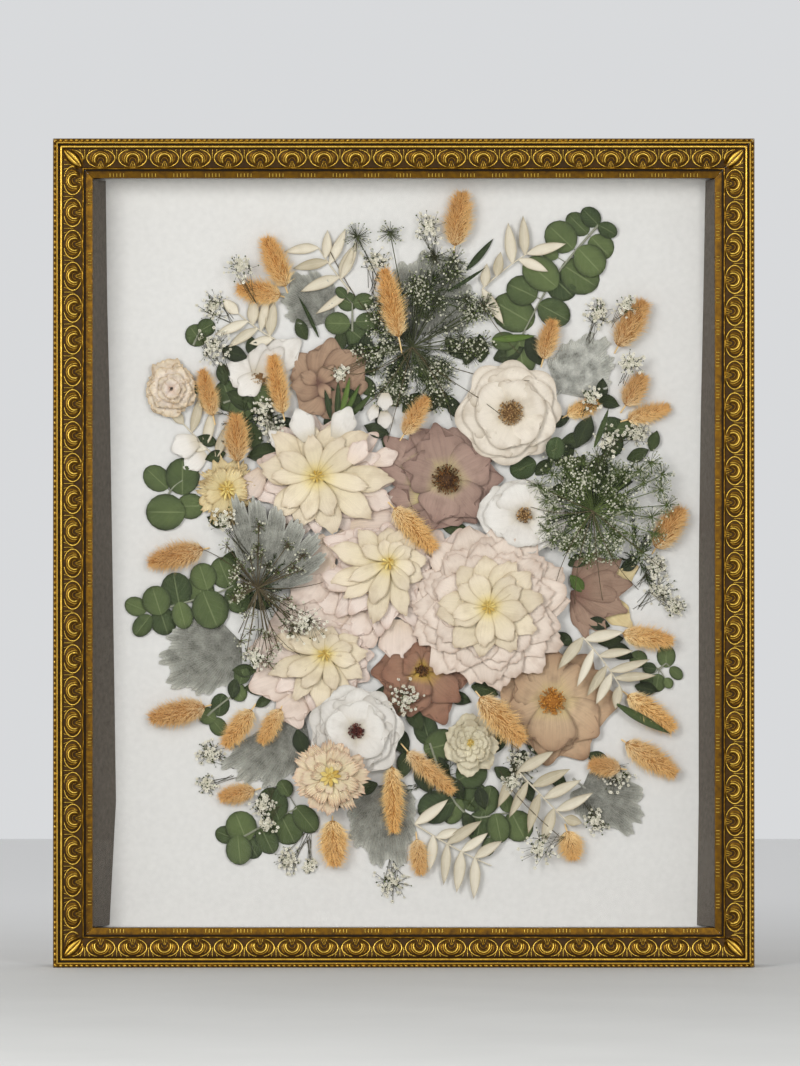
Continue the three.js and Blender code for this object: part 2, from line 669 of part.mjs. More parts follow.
for (const [name, [look, flower]] of Object.entries(LOOSE_FLOWERS)) {
  layDown(name, petalFlower(flower), look);
}
for (const [name, [look, flower]] of Object.entries(PLAIN_FLOWERS)) {
  layDown(name, rosette(flower), look);
}

// Pieces that lie over the flowers
layDown('dusty_miller_middle', dustyMiller({
  at: [265, 548], foot: [264, 592],
  tips: [[232, 493], [255, 498], [278, 508], [300, 520], [320, 536], [324, 556], [306, 580], [264, 592],
    [240, 566], [234, 524]],
}), SILVER);
layDown('ruscus_right', ruscus({
  along: [[584, 638], [606, 664], [624, 692]],
  leaves: [[601, 636], [575, 653], [588, 665], [613, 653], [598, 678], [628, 670], [605, 685], [634, 679]],
}), BLEACHED);
layDown('ruscus_low_right', ruscus({
  along: [[519, 773], [545, 800], [567, 822]],
  leaves: [[546, 759], [552, 777], [563, 787], [570, 804], [506, 793], [533, 813], [549, 820]],
}), BLEACHED);

const UMBELS = {
  lace_umbel_top: {
    at: [412, 346], size: 11,
    clusters: [[389, 232], [435, 256], [457, 272], [484, 306], [462, 336], [438, 302], [384, 322],
      [394, 374], [430, 384]],
  },
  lace_umbel_right: {
    at: [594, 511], size: 10,
    clusters: [[652, 462], [662, 489], [653, 517], [633, 535], [614, 468], [582, 462], [554, 474],
      [548, 500]],
  },
  lace_umbel_left: {
    at: [257, 588], size: 9,
    clusters: [[258, 526], [287, 545], [302, 556], [226, 546], [269, 637], [246, 654], [300, 628]],
  },
};
for (const [name, head] of Object.entries(UMBELS)) layDown(name, umbel(head), OLIVE);

layDown('bunny_tail_middle', bunnyTail({
  base: [480, 698], tip: [524, 743], width: 32, stalk: [476, 692],
}), TAN);

export default frame;
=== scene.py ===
import math

import bpy
import numpy as np
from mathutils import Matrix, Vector
from mathutils.geometry import tessellate_polygon


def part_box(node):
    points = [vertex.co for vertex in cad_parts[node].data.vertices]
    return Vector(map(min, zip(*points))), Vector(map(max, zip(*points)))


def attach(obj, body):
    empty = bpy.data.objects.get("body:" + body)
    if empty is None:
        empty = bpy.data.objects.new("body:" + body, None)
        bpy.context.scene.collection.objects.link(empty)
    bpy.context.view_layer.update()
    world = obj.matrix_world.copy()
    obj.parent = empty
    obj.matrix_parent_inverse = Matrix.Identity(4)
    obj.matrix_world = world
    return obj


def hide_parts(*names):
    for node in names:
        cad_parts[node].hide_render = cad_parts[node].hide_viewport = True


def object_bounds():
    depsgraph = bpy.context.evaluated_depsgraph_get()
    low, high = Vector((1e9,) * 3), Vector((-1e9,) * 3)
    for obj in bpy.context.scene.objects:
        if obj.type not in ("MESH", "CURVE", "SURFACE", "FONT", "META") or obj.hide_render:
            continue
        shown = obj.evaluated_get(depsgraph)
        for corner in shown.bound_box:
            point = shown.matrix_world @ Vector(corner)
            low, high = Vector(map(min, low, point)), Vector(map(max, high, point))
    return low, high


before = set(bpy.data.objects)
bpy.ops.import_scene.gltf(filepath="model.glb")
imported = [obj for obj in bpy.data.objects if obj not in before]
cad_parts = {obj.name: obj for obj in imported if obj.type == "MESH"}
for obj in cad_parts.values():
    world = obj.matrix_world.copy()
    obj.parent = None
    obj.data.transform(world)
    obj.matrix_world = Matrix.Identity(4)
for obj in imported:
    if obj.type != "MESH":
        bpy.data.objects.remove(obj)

CAD_LOW, CAD_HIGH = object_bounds()
MM = 0.001
TURN = 2 * math.pi
WIDTH = (CAD_HIGH.x - CAD_LOW.x) / MM
HEIGHT = CAD_HIGH.z / MM
BOARD_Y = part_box("backing_board")[0].y / MM
RAILS_BACK_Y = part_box("frame_rail_left")[1].y / MM
RAIL_WIDTH = (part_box("frame_rail_left")[1].x - CAD_LOW.x) / MM

# The photograph: the moulding's outer width and middle, and the middle and height of the picture
PHOTO_FRAME_WIDTH = 702
PHOTO_FRAME_MIDDLE = (403.75, 553)
PHOTO_MIDDLE = (400, 533)
PHOTO_HEIGHT = 1066
PX = WIDTH / PHOTO_FRAME_WIDTH


def place(px, py):
    """A pixel of the photograph as (u, v)"""
    u = (px - PHOTO_FRAME_MIDDLE[0]) * PX
    v = HEIGHT / 2 - (py - PHOTO_FRAME_MIDDLE[1]) * PX
    return np.array([u, v])


def towards(heading):
    """One millimetre at a heading"""
    return np.array([math.cos(heading), math.sin(heading)])


def seeded(name):
    return np.random.default_rng(sum((i + 1) * ord(letter) for i, letter in enumerate(name)))


# Closed meshes and the values that their materials read

VALUES = ("along", "across", "tone", "lined")
# The angle in degrees up to which an edge is smooth, on soft pieces and on the moulding
SMOOTH_UP_TO = 50
CARVING_SMOOTH_UP_TO = 40


class Sheaf:
    """The closed shells of one piece, with four values at each point"""

    def __init__(self):
        self.points = []
        self.triangles = []
        self.values = []
        self.looks = []
        self.count = 0

    def add(self, points, triangles, along=0.5, across=0.0, tone=0.5, look=0, lined=0.0):
        points = np.asarray(points, float).reshape(-1, 3)
        triangles = np.asarray(triangles, int).reshape(-1, 3)
        a, b, c = (points[triangles[:, i]] for i in range(3))
        if np.einsum("ij,ij->", a, np.cross(b, c)) < 0:
            triangles = triangles[:, ::-1]
        values = np.empty((len(points), 4))
        for column, value in enumerate((along, across, tone, lined)):
            values[:, column] = np.ravel(value)
        self.points.append(points)
        self.triangles.append(triangles + self.count)
        self.values.append(values)
        self.looks.append(np.full(len(triangles), look))
        self.count += len(points)


class Pile:
    """How high the pieces already laid reach above the board, in cells two millimetres wide"""

    CELL = 2.0
    MOST = 26.0

    def __init__(self):
        self.cells = np.zeros((int(WIDTH / self.CELL) + 2, int(HEIGHT / self.CELL) + 2))

    def index(self, u, v):
        i = np.clip(((np.asarray(u) + WIDTH / 2) / self.CELL).astype(int), 0, self.cells.shape[0] - 1)
        j = np.clip((np.asarray(v) / self.CELL).astype(int), 0, self.cells.shape[1] - 1)
        return i, j

    def add(self, points):
        np.maximum.at(self.cells, self.index(points[:, 0], points[:, 1]), points[:, 2])

    def top(self, spots, share=0.8):
        """The height that a piece over these spots rests at, a little sunk into what is soft"""
        i, j = self.index(spots[:, 0], spots[:, 1])
        return min(float(np.quantile(self.cells[i, j], share)), self.MOST)


pile = Pile()


def on_board(points):
    return np.column_stack([points[:, 0], BOARD_Y - points[:, 2], points[:, 1]])


def link(name, data):
    """A new object in the scene"""
    made = bpy.data.objects.new(name, data)
    bpy.context.scene.collection.objects.link(made)
    return made


def add_piece(name, sheaf, materials, slot, replaces=None, to_frame=on_board, crease=SMOOTH_UP_TO):
    """A sheaf as one piece of the scene, and the node that it stands in for; the slot is not used"""
    made = np.concatenate(sheaf.points)
    points = to_frame(made) * MM
    triangles = np.concatenate(sheaf.triangles)
    mesh = bpy.data.meshes.new(name)
    mesh.vertices.add(len(points))
    mesh.vertices.foreach_set("co", points.ravel())
    mesh.loops.add(triangles.size)
    mesh.loops.foreach_set("vertex_index", triangles.ravel())
    mesh.polygons.add(len(triangles))
    mesh.polygons.foreach_set("loop_start", np.arange(0, triangles.size, 3))
    mesh.polygons.foreach_set("material_index", np.concatenate(sheaf.looks))
    mesh.update(calc_edges=True)
    for label, column in zip(VALUES, np.concatenate(sheaf.values).T):
        attribute = mesh.attributes.new(label, "FLOAT", "POINT")
        attribute.data.foreach_set("value", column.astype(np.float32))
    mesh.polygons.foreach_set("use_smooth", np.ones(len(triangles), bool))
    mesh.set_sharp_from_angle(angle=math.radians(crease))
    for material in materials:
        mesh.materials.append(material)
    piece = link(name, mesh)
    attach(piece, "root")
    if replaces:
        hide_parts(replaces)
    if to_frame is on_board:
        pile.add(made)


def node_levels(node):
    """The lowest and highest w of a node, and so of the piece that replaces it"""
    low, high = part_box(node)
    return BOARD_Y - high.y / MM, BOARD_Y - low.y / MM


# Node graphs whose values add and multiply as numbers do

def linear(red, green, blue):
    """An sRGB colour of 0 to 255 as Blender's linear colour"""
    parts = [part / 255 for part in (red, green, blue)]
    return [part / 12.92 if part < 0.04045 else ((part + 0.055) / 1.055) ** 2.4 for part in parts] + [1]


def as_colour(value):
    """A grey number, sRGB parts of 0 to 255, or a linear colour with its alpha, as the last of these"""
    if isinstance(value, (int, float)):
        return (value, value, value, 1)
    return linear(*value) if len(value) == 3 else value


class Value:
    """The output of a node, as a number or a colour that other nodes take"""

    def __init__(self, graph, socket):
        self.graph = graph
        self.socket = socket

    def maths(self, operation, other=0.0):
        return self.graph.maths(operation, self, other)

    def __add__(self, other):
        return self.maths("ADD", other)

    def __sub__(self, other):
        return self.maths("SUBTRACT", other)

    def __rsub__(self, other):
        return self.graph.maths("SUBTRACT", other, self)

    def __mul__(self, other):
        return self.maths("MULTIPLY", other)

    def __truediv__(self, other):
        return self.maths("DIVIDE", other)

    def __pow__(self, other):
        return self.maths("POWER", other)

    def __abs__(self):
        return self.maths("ABSOLUTE")

    def or_more(self, other):
        return self.maths("MAXIMUM", other)


class Graph:
    """The node tree of a material or of the world"""

    def __init__(self, tree):
        self.tree = tree

    def feed(self, socket, value):
        if isinstance(value, Value):
            self.tree.links.new(value.socket, socket)
        else:
            socket.default_value = value

    def node(self, kind, inputs, output=0, **settings):
        """A new node with its settings and inputs, as the value of one of its outputs"""
        node = self.tree.nodes.new("ShaderNode" + kind)
        for key, setting in settings.items():
            setattr(node, key, setting)
        for key, value in inputs.items():
            self.feed(node.inputs[key], value)
        return Value(self, node.outputs[output])

    def maths(self, operation, first, second):
        return self.node("Math", {0: first, 1: second}, operation=operation)

    def read(self, label):
        """A value that the mesh carries at its points"""
        return self.node("Attribute", {}, "Fac", attribute_name=label)

    def place(self, output="Object"):
        return self.node("TexCoord", {}, output)

    def forwards(self, output="Object"):
        """How far back a place is, along Y"""
        return self.node("SeparateXYZ", {0: self.place(output)}, "Y")

    def noise(self, scale, detail):
        """Noise fixed to the object, scale in waves a metre"""
        return self.node("TexNoise", {"Vector": self.place(), "Scale": scale, "Detail": detail}, "Fac")

    def streaks(self, lines):
        """Streaks that run along a petal, with lines of them across its half width"""
        join = self.node("CombineXYZ", {"X": self.read("across") * lines, "Y": self.read("along") * 1.3,
                                        "Z": self.read("tone") * 57.0})
        return self.node("TexNoise", {"Vector": join, "Scale": 1.0, "Detail": 3.0}, "Fac")

    def net(self, scale):
        """A fine net of veins: one on the lines of the net and nought between them"""
        away = self.node("TexVoronoi", {"Vector": self.place(), "Scale": scale}, "Distance",
                         feature="DISTANCE_TO_EDGE")
        return self.ramp(away, (0.0, 1), (0.14, 0))

    def step(self, value, low, high):
        """Nought below low and one above high, with a smooth rise between"""
        return self.node("MapRange", {"Value": value, "From Min": low, "From Max": high}, "Result",
                         interpolation_type="SMOOTHSTEP")

    def mix(self, factor, first, second, blend="MIX"):
        inputs = {6: first, 7: second}
        for key, value in inputs.items():
            if not isinstance(value, Value):
                inputs[key] = as_colour(value)
        return self.node("Mix", {0: factor, **inputs}, 2, data_type="RGBA", blend_type=blend)

    def ramp(self, factor, *stops):
        node = self.tree.nodes.new("ShaderNodeValToRGB")
        elements = node.color_ramp.elements
        while len(elements) < len(stops):
            elements.new(0.5)
        for element, (position, colour) in zip(elements, stops):
            element.position = position
            element.color = as_colour(colour)
        self.feed(node.inputs["Fac"], factor)
        return Value(self, node.outputs["Color"])


class Look(Graph):
    """A material in the making"""

    def __init__(self, name, roughness, metallic=0.0, sheen=0.0, gloss=0.2):
        self.material = bpy.data.materials.new(name)
        self.material.use_nodes = True
        super().__init__(self.material.node_tree)
        self.set({"Roughness": roughness, "Metallic": metallic, "Sheen Weight": sheen,
                  "Specular IOR Level": gloss})

    def set(self, inputs):
        shader = self.tree.nodes["Principled BSDF"]
        for key, value in inputs.items():
            self.feed(shader.inputs[key], value)

    def finish(self, colour, height, strength, distance):
        """The material with its colour and with a bump as high as a value"""
        bump = self.node("Bump", {"Strength": strength, "Distance": distance, "Height": height})
        self.set({"Base Color": colour, "Normal": bump})
        return self.material


# Materials

def petal_material(name, foot, body, tip, edge, veins=0.25, lines=9.0):
    """Papery dried petal: its colour runs from foot to tip, with streaks, blotches and a darker edge, painted
    shade along the lines between petals
    """
    look = Look(name, 0.62, sheen=0.05)
    along = look.read("along")
    colour = look.ramp(along, (0.05, foot), (0.38, body), (0.97, tip))
    streaks = look.streaks(lines)
    dark = [part * 0.72 for part in linear(*body)[:3]] + [1]
    colour = look.mix(look.ramp(streaks, (0.42, 0), (0.66, 1)) * veins, colour, dark)
    blotch = look.ramp(look.noise(90, 3), (0.5, 0), (0.75, 1))
    colour = look.mix(blotch * 0.35, colour, edge)
    # The rim darkens each petal's edge towards the edge colour: painted shade between overlapping petals
    rim = (abs(look.read("across")) ** 7.0).or_more(along ** 14.0)
    colour = look.mix(rim * 0.6, colour, edge)
    lift = look.ramp(look.read("tone"), (0.0, (0.86, 0.85, 0.84, 1)), (1.0, 1))
    return look.finish(look.mix(1.0, colour, lift, "MULTIPLY"), streaks, 0.35, 0.0006)


def mottled_material(name, dark, light, scale):
    """A matt surface between two colours, by the mesh's tone and by noise"""
    look = Look(name, 0.8)
    noise = look.noise(scale, 4)
    level = look.read("tone") * 0.75 + noise * 0.35
    return look.finish(look.ramp(level, (0.15, dark), (0.95, light)), noise, 0.4, 0.0005)


def leaf_material(name, dark, light, vein, edge, lines=6.0, vein_share=0.5):
    """Leaf with a pale midrib and side veins, and a darker edge, painted shade that outlines each leaf
    against the next
    """
    look = Look(name, 0.6)
    across, along = abs(look.read("across")), look.read("along")
    noise = look.noise(130, 4)
    colour = look.ramp(look.read("tone") * 0.75 + noise * 0.5, (0.15, dark), (1.0, light))
    rib = look.ramp(across, (0.0, 1), (0.07, 0))
    slant = along * lines - across * (lines * 0.4)
    share = rib.or_more(look.ramp(slant.maths("FRACT"), (0.0, 0.55), (0.1, 0))) * vein_share
    colour = look.mix(share, colour, vein)
    # The rim darkens the leaf's edge: painted shade between overlapping leaves
    rim = (across ** 5.0).or_more(along ** 14.0)
    return look.finish(look.mix(rim * 0.85, colour, edge), noise + share, 0.4, 0.0005)


FELT_EDGE = (206, 206, 194)


def felt_material(name, dark, light):
    """Silver leaf under white felt: paler veins fan out from the foot, and the toothed edge is pale"""
    look = Look(name, 0.95, sheen=0.2)
    fan = (look.read("across") * 26.0).maths("PINGPONG", 0.5)
    vein = look.ramp(fan, (0.0, 1), (0.16, 0)).or_more(look.net(420) * 0.45)
    fuzz = look.noise(900, 4)
    colour = look.ramp(fuzz * 0.3 + look.noise(120, 3) * 0.9, (0.38, dark), (0.8, light))
    colour = look.mix(vein * 0.5, colour, FELT_EDGE)
    colour = look.mix(look.read("along") ** 12.0 * 0.8, colour, FELT_EDGE)
    return look.finish(colour, fuzz + vein, 0.8, 0.001)


def from_oval(x, y, middle, radii=(1, 1)):
    """How far a place is from a middle, in radii of an oval"""
    return (((x - middle[0]) / radii[0]) ** 2.0 + ((y - middle[1]) / radii[1]) ** 2.0).maths("SQRT")


def carved_line(distance, half_width, height, *masks):
    """A rounded line where a distance is nought, faded by masks"""
    line = (1.0 - (distance / half_width) ** 2.0).or_more(0.0) * height
    for mask in masks:
        line = line * mask
    return line


def carved_lines(look):
    """The fine lines of the carved eyes and the ticks on the inner lip"""
    step = look.step
    x = (look.read("across").maths("FRACT") - 0.5) * MOTIF
    inset = look.read("tone")
    y = BAND[1] - inset
    a = abs(x)
    to_next = MOTIF / 2 - a
    in_band, above = step(y, 0.1, 0.6), step(y, 2.6, 4.2)
    under = 1.0 - step(y, 4.4, 5.4)
    crescent = from_oval(x, y, (0, 5.6)) - 5.0
    eye = from_oval(x, y, (0, 7.0), (11.2, 7.2)) - 1.0
    lid = from_oval(x, y, (0, 7.4), (8.2, 6.0)) - 1.0
    total = carved_line(crescent, 0.75, 0.5, above)
    lines = [
        carved_line(from_oval(x, y, (0, 5.0)) - 2.4, 0.5, 0.3, step(y, 4.0, 5.0)),
        carved_line(crescent - 1.7, 0.5, 0.36, above),
        carved_line(eye * 8.0, 0.55, 0.62, step(a, 2.0, 3.6), in_band),
        carved_line(lid * 7.0, 0.4, 0.22, above, step(a, 5.8, 7.0)),
        carved_line(x, 0.45, 0.4, under, in_band),
        carved_line(a - (6.2 - y) * 0.36, 0.45, 0.45, under, in_band),
    ]
    fan = step(y, 4.5, 15.0) ** 1.6
    outside = step(eye, 0.02, 0.12)
    for start, spread in ((0.0, 0.0), (1.3, 2.6), (2.5, 5.4)):
        gap = to_next - start - fan * spread
        lines.append(carved_line(gap, 0.45, 0.6, step(y, 5.0 + start, 7.5 + start), outside))
    for line in lines:
        total = total.or_more(line)
    in_group = 1.0 - step(to_next, 6.3, 6.5)
    on_lip = step(inset, 27.4, 28.0) - step(inset, 30.4, 31.0)
    ticks = carved_line(to_next.maths("PINGPONG", 1.35), 0.42, 0.6, in_group, on_lip)
    return (total * step(inset, 8.2, 8.8) + ticks) * look.read("lined")


def gilt_material():
    """Gold leaf rubbed bright on what is raised, over dark brown patina in the hollows"""
    look = Look("gilt", 0.34, gloss=0.3)
    lines = carved_lines(look)
    level = look.read("along") + lines + (look.noise(260, 5) - 0.5) * 0.3
    look.set({"Metallic": look.ramp(level, (0.1, 0.35), (0.5, 0.9)),
              "Roughness": look.ramp(level, (0.1, 0.6), (0.55, 0.34))})
    colour = look.ramp(level, (0.1, (32, 20, 4)), (0.32, (72, 48, 10)), (0.58, (136, 97, 22)),
                       (0.95, (246, 206, 92)))
    return look.finish(colour, lines + look.noise(1400, 4) * 0.12, 0.8, 0.0012)


def tail_material():
    """Hair of a dyed bunny tail: pale straw at the foot, ginger towards the tip"""
    look = Look("tail_hair", 0.8, sheen=0.1)
    colour = look.ramp(look.read("along"), (0.0, (252, 232, 186)), (0.3, (250, 218, 156)),
                       (1.0, (248, 206, 134)))
    # Each hair's tone lightens or darkens it at random; the dark low end, which the core under the hair
    # takes, is painted shade
    lift = look.ramp(look.read("tone"), (0.0, (0.3, 0.16, 0.06, 1)), (0.5, (0.76, 0.58, 0.36, 1)),
                     (1.0, (1.0, 0.97, 0.9, 1)))
    rosy = look.ramp(look.read("across"), (0.3, 1), (1.0, (0.86, 0.84, 0.92, 1)))
    colour = look.mix(1.0, look.mix(1.0, colour, lift, "MULTIPLY"), rosy, "MULTIPLY")
    return look.finish(colour, look.noise(1200, 3), 0.3, 0.0003)


def sheet_material(name, colour, second, scale, roughness, bump):
    look = Look(name, roughness)
    noise = look.noise(scale, 5)
    return look.finish(look.ramp(noise, (0.3, colour), (0.7, second)), noise, bump, 0.0004)


# Low-reflection picture glass
GLASS_IOR = 1.2


def glass_material():
    look = Look("clear_glass", 0.0, gloss=0.5)
    look.set({"Base Color": (1, 1, 1, 1), "Transmission Weight": 1.0, "IOR": GLASS_IOR})
    return look.material


def steel_material():
    look = Look("zinc_steel", 0.32, metallic=1.0, gloss=0.5)
    noise = look.noise(500, 4)
    return look.finish(look.ramp(noise, (0.3, (150, 148, 142)), (0.7, (206, 204, 198))), noise, 0.15, 0.0003)


# Shells, sticks and small repeated forms

GRIDS = {}


def grid_triangles(rows, cols):
    """Triangles of a thin closed shell: a top grid, a bottom grid after it, and their rims joined"""
    if (rows, cols) not in GRIDS:
        index = np.arange(rows * cols).reshape(rows, cols)
        a, b, c, d = index[:-1, :-1], index[:-1, 1:], index[1:, :-1], index[1:, 1:]
        top = np.concatenate([np.stack([a, b, d], -1).reshape(-1, 3), np.stack([a, d, c], -1).reshape(-1, 3)])
        rim = np.concatenate([index[0, :], index[1:, -1], index[-1, -2::-1], index[-2:0:-1, 0]])
        after = np.roll(rim, -1)
        under = rows * cols
        sides = np.concatenate([np.column_stack([rim, rim + under, after]),
                                np.column_stack([after, rim + under, after + under])])
        GRIDS[rows, cols] = np.concatenate([top, top[:, ::-1] + under, sides])
    return GRIDS[rows, cols]


def shell(sheaf, top, thickness, along, across, tone, look=0):
    rows, cols = top.shape[:2]
    under = top.copy()
    under[..., 2] -= thickness
    points = np.concatenate([top.reshape(-1, 3), under.reshape(-1, 3)])
    both = [np.concatenate([np.ravel(value)] * 2) for value in (along, across)]
    sheaf.add(points, grid_triangles(rows, cols), both[0], both[1], tone, look)


def crumple_field(rng, wave):
    """A smooth random surface of unit height whose creases lie about a wave length apart"""
    headings = rng.uniform(0, TURN, 6)
    numbers = TURN / (wave * rng.uniform(0.6, 1.6, 6))
    phases = rng.uniform(0, TURN, 6)

    def field(u, v):
        rows = [np.sin(k * (np.cos(h) * u + np.sin(h) * v) + p) for k, h, p in zip(numbers, headings, phases)]
        return sum(rows) / 3
    return field


def petal(sheaf, rng, foot, heading, length, width, low, high, fullest=0.62, stub=0.25, end=0.5,
          round_off=0.25, cup=0.0, tilt=0.0, keel=0.0, curl=0.0, ruffle=0.0, waves=3, frill=0.0,
          bend=0.0, crumple=0.0, wave=9.0, thickness=0.3, rows=9, cols=9, disc=False, look=0):
    """A petal or leaf from its foot outwards, as a thin closed shell"""
    t = np.linspace(0, 1, rows)[:, None]
    s = np.linspace(-1, 1, cols)[None, :]
    growing = stub + (1 - stub) * np.sin(np.minimum(t / fullest, 1) * math.pi / 2)
    closing = 1 - (1 - end) * (np.maximum(t - fullest, 0) / (1 - fullest)) ** 2
    half = width / 2 * growing * closing
    if disc:
        t = (1 - np.cos(t * math.pi)) / 2
        half = width / 2 * np.maximum(np.sqrt(np.clip(1 - (2 * t - 1) ** 2, 0, 1)), 0.09)
    phase = rng.uniform(0, TURN)
    rippled = np.sin(waves * math.pi * s + phase)
    edge = 1 - round_off * np.abs(s) ** 2.2 * t ** 3
    edge = edge + frill * (rippled * 0.5 + rng.normal(0, 0.5, (1, cols))) * t ** 4
    out = length * t * edge
    side = s * half + bend * length * t ** 2
    cos, sin = math.cos(heading), math.sin(heading)
    u = foot[0] + cos * out - sin * side
    v = foot[1] + sin * out + cos * side
    rise = np.sin(t * math.pi / 2)
    w = low + (high - low) * rise + 0 * s
    w = w + cup * s ** 2 * t + tilt * s * rise - keel * np.abs(s) * np.sin(t * math.pi) ** 0.5
    w = w + curl * t ** 5 + ruffle * rippled * t ** 2
    if crumple:
        w = w + crumple * crumple_field(rng, wave)(u, v) * t
    w = np.maximum(w, thickness + 0.1)
    shell(sheaf, np.stack([u, v, w], -1), thickness, t + 0 * s, s + 0 * t, rng.uniform(0, 1), look)


def petal_between(sheaf, rng, start, end_at, width, low, high, **shape):
    """A petal from one pixel to another, its width in pixels too"""
    foot = place(*start)
    away = place(*end_at) - foot
    petal(sheaf, rng, foot, math.atan2(away[1], away[0]), math.hypot(*away), width * PX, low, high, **shape)


def reach_at(reach, heading):
    """The reach in millimetres at a heading, from reaches in pixels to the left, right, top and bottom"""
    left, right, up, down = reach
    cos, sin = math.cos(heading), math.sin(heading)
    a = right if cos > 0 else left
    b = up if sin > 0 else down
    return PX / math.hypot(cos / a, sin / b)


def ring(sheaf, rng, at, reach, count, span, width, low, high, turn=0.0, start=0.06, wander=0.25, **shape):
    """Petals round a middle; span is the share of the reach they cover and width is in pixels"""
    for i in range(count):
        heading = TURN * (i + turn + wander * rng.uniform(-0.5, 0.5)) / count
        full = reach_at(reach, heading)
        length = full * span * rng.uniform(0.93, 1.04)
        foot = place(*at) + full * start * towards(heading)
        petal(sheaf, rng, foot, heading, length - full * start, width * PX * rng.uniform(0.86, 1.12),
              low, high, bend=rng.uniform(-0.08, 0.08), **shape)


def spokes(axis, reference, sides=3):
    """A ring of unit spokes round each of many axes"""
    axis = axis / np.maximum(np.linalg.norm(axis, axis=1, keepdims=True), 1e-6)
    across = np.cross(axis, reference)
    across = across / np.maximum(np.linalg.norm(across, axis=1, keepdims=True), 1e-6)
    turns = (TURN * np.arange(sides) / sides)[None, :, None]
    return np.cos(turns) * across[:, None] + np.sin(turns) * np.cross(axis, across)[:, None]


def copies(triangles, count, size):
    """The triangles of many copies of a form that has size points"""
    return triangles[None] + size * np.arange(count)[:, None, None]


# Radii at the foot and tip of stems and threads
SPRAY_STEM, LEAF_STALK = (1.0, 0.6), (0.5, 0.4)
RUSCUS_STEM, FELT_STALK, TAIL_STALK = (0.8, 0.45), (0.6, 1.0), (0.7, 0.6)
RAY, FLORET_THREAD, FINE_THREAD = (0.5, 0.4), (0.24, 0.16), (0.18, 0.14)
SPRIG_STEM, DRY_STEM, FROND, FROND_THREAD = (0.22, 0.18), (0.4, 0.26), (0.4, 0.25), (0.34, 0.2)

STICK = np.array([[0, 2, 1], [3, 4, 5], [0, 1, 3], [1, 4, 3], [1, 2, 4], [2, 5, 4], [2, 0, 5], [0, 3, 5]])
SPIKE = np.array([[0, 2, 1], [0, 1, 3], [1, 2, 3], [2, 0, 3]])


def sticks(sheaf, starts, ends, radii, tone=0.5, look=0):
    """Three-sided tapering sticks between pairs of points"""
    starts, ends = np.atleast_2d(starts), np.atleast_2d(ends)
    count = len(starts)
    around = spokes(ends - starts, [0.31, 0.17, 0.94])
    points = np.concatenate([starts[:, None] + around * radii[0], ends[:, None] + around * radii[1]], 1)
    sheaf.add(points, copies(STICK, count, 6), 0.5, 0.0, np.repeat(np.broadcast_to(tone, count), 6), look)


def star_form():
    """A tiny open flower: five thin closed petals that rise outwards from one point"""
    points = []
    for i in range(5):
        out = np.array([*towards(TURN * i / 5), 0])
        side = np.array([-out[1], out[0], 0])
        points += [out * 0.08, out * 0.62 + side * 0.42 + [0, 0, 0.3], out + [0, 0, 0.05],
                   out * 0.62 - side * 0.42 + [0, 0, 0.3]]
    petal_form = np.array([[0, 3, 2], [0, 2, 1], [0, 1, 3], [1, 2, 3]])
    return np.array(points), copies(petal_form, 5, 4).reshape(-1, 3)


STAR = star_form()
BUD = (np.array([[1, 0, 0], [0, 1, 0], [-1, 0, 0], [0, -1, 0], [0, 0, 1], [0, 0, -1]], float),
       np.array([[0, 1, 4], [1, 2, 4], [2, 3, 4], [3, 0, 4], [1, 0, 5], [2, 1, 5], [3, 2, 5], [0, 3, 5]]))


def turned(x, y, angles):
    """Flat places turned by angles"""
    cos, sin = np.cos(angles)[:, None], np.sin(angles)[:, None]
    return cos * x - sin * y, sin * x + cos * y


def scatter(sheaf, rng, form, places, sizes, tilt=0.5, tone=0.5, look=0, flat=1.0):
    """Copies of a small form at many places, each turned and tilted at random"""
    form_points, form_triangles = form
    places = np.atleast_2d(places)
    count = len(places)
    spin, lean, way = rng.uniform(0, TURN, count), rng.normal(0, tilt, count), rng.uniform(0, TURN, count)
    a, b = turned(*turned(form_points[:, 0], form_points[:, 1], spin), -way)
    a, z = turned(a, form_points[:, 2] * flat, lean)
    x, y = turned(a, b, way)
    points = np.stack([x, y, z], -1) * np.reshape(np.broadcast_to(sizes, count), (-1, 1, 1)) + places[:, None]
    tones = np.repeat(np.broadcast_to(tone, count), len(form_points))
    sheaf.add(points, copies(form_triangles, count, len(form_points)), 0.5, 0.0, tones, look)


def pipe_triangles(rows, sides):
    """Triangles of rows of rings, closed by a point at the first and a point at the last of them"""
    first, last, top = rows * sides, rows * sides + 1, (rows - 1) * sides
    pairs = [(j, (j + 1) % sides) for j in range(sides)]
    triangles = []
    for start in range(0, top, sides):
        for j, k in pairs:
            a, b, c, d = start + j, start + k, start + sides + j, start + sides + k
            triangles += [[a, b, c], [b, d, c]]
    for j, k in pairs:
        triangles += [[first, k, j], [last, top + j, top + k]]
    return triangles


def tube(sheaf, line, radius, sides=6, tone=0.5, look=0, along=0.5):
    """A round stem through points (u, v, w), tapering from the first radius to the last"""
    line = np.asarray(line, float)
    radii = np.linspace(*radius, len(line))
    around = spokes(np.gradient(line, axis=0), [0, 0, 1.0], sides)[:, -np.arange(sides)]
    points = (line[:, None] + around * radii[:, None, None]).reshape(-1, 3)
    points = np.concatenate([points, line[:1], line[-1:]])
    sheaf.add(points, pipe_triangles(len(line), sides), along, 0.0, tone, look)


def curve_through(points, count):
    """A smooth line through a few points"""
    points = np.asarray(points, float)
    steps = np.arange(len(points))
    wanted = np.linspace(0, len(points) - 1, count)
    if len(points) == 2:
        return np.column_stack([np.interp(wanted, steps, column) for column in points.T])
    degree = min(3, len(points) - 1)
    return np.column_stack([np.polyval(np.polyfit(steps, column, degree), wanted) for column in points.T])


def spots_round(middle, out, heading, w):
    """Points at distances and headings round a middle"""
    u = middle[0] + out * np.cos(heading)
    return np.column_stack([u, middle[1] + out * np.sin(heading), w + 0 * u])


# The moulding: inset from the outer edge, height above the rails' back plane and how bright it is rubbed

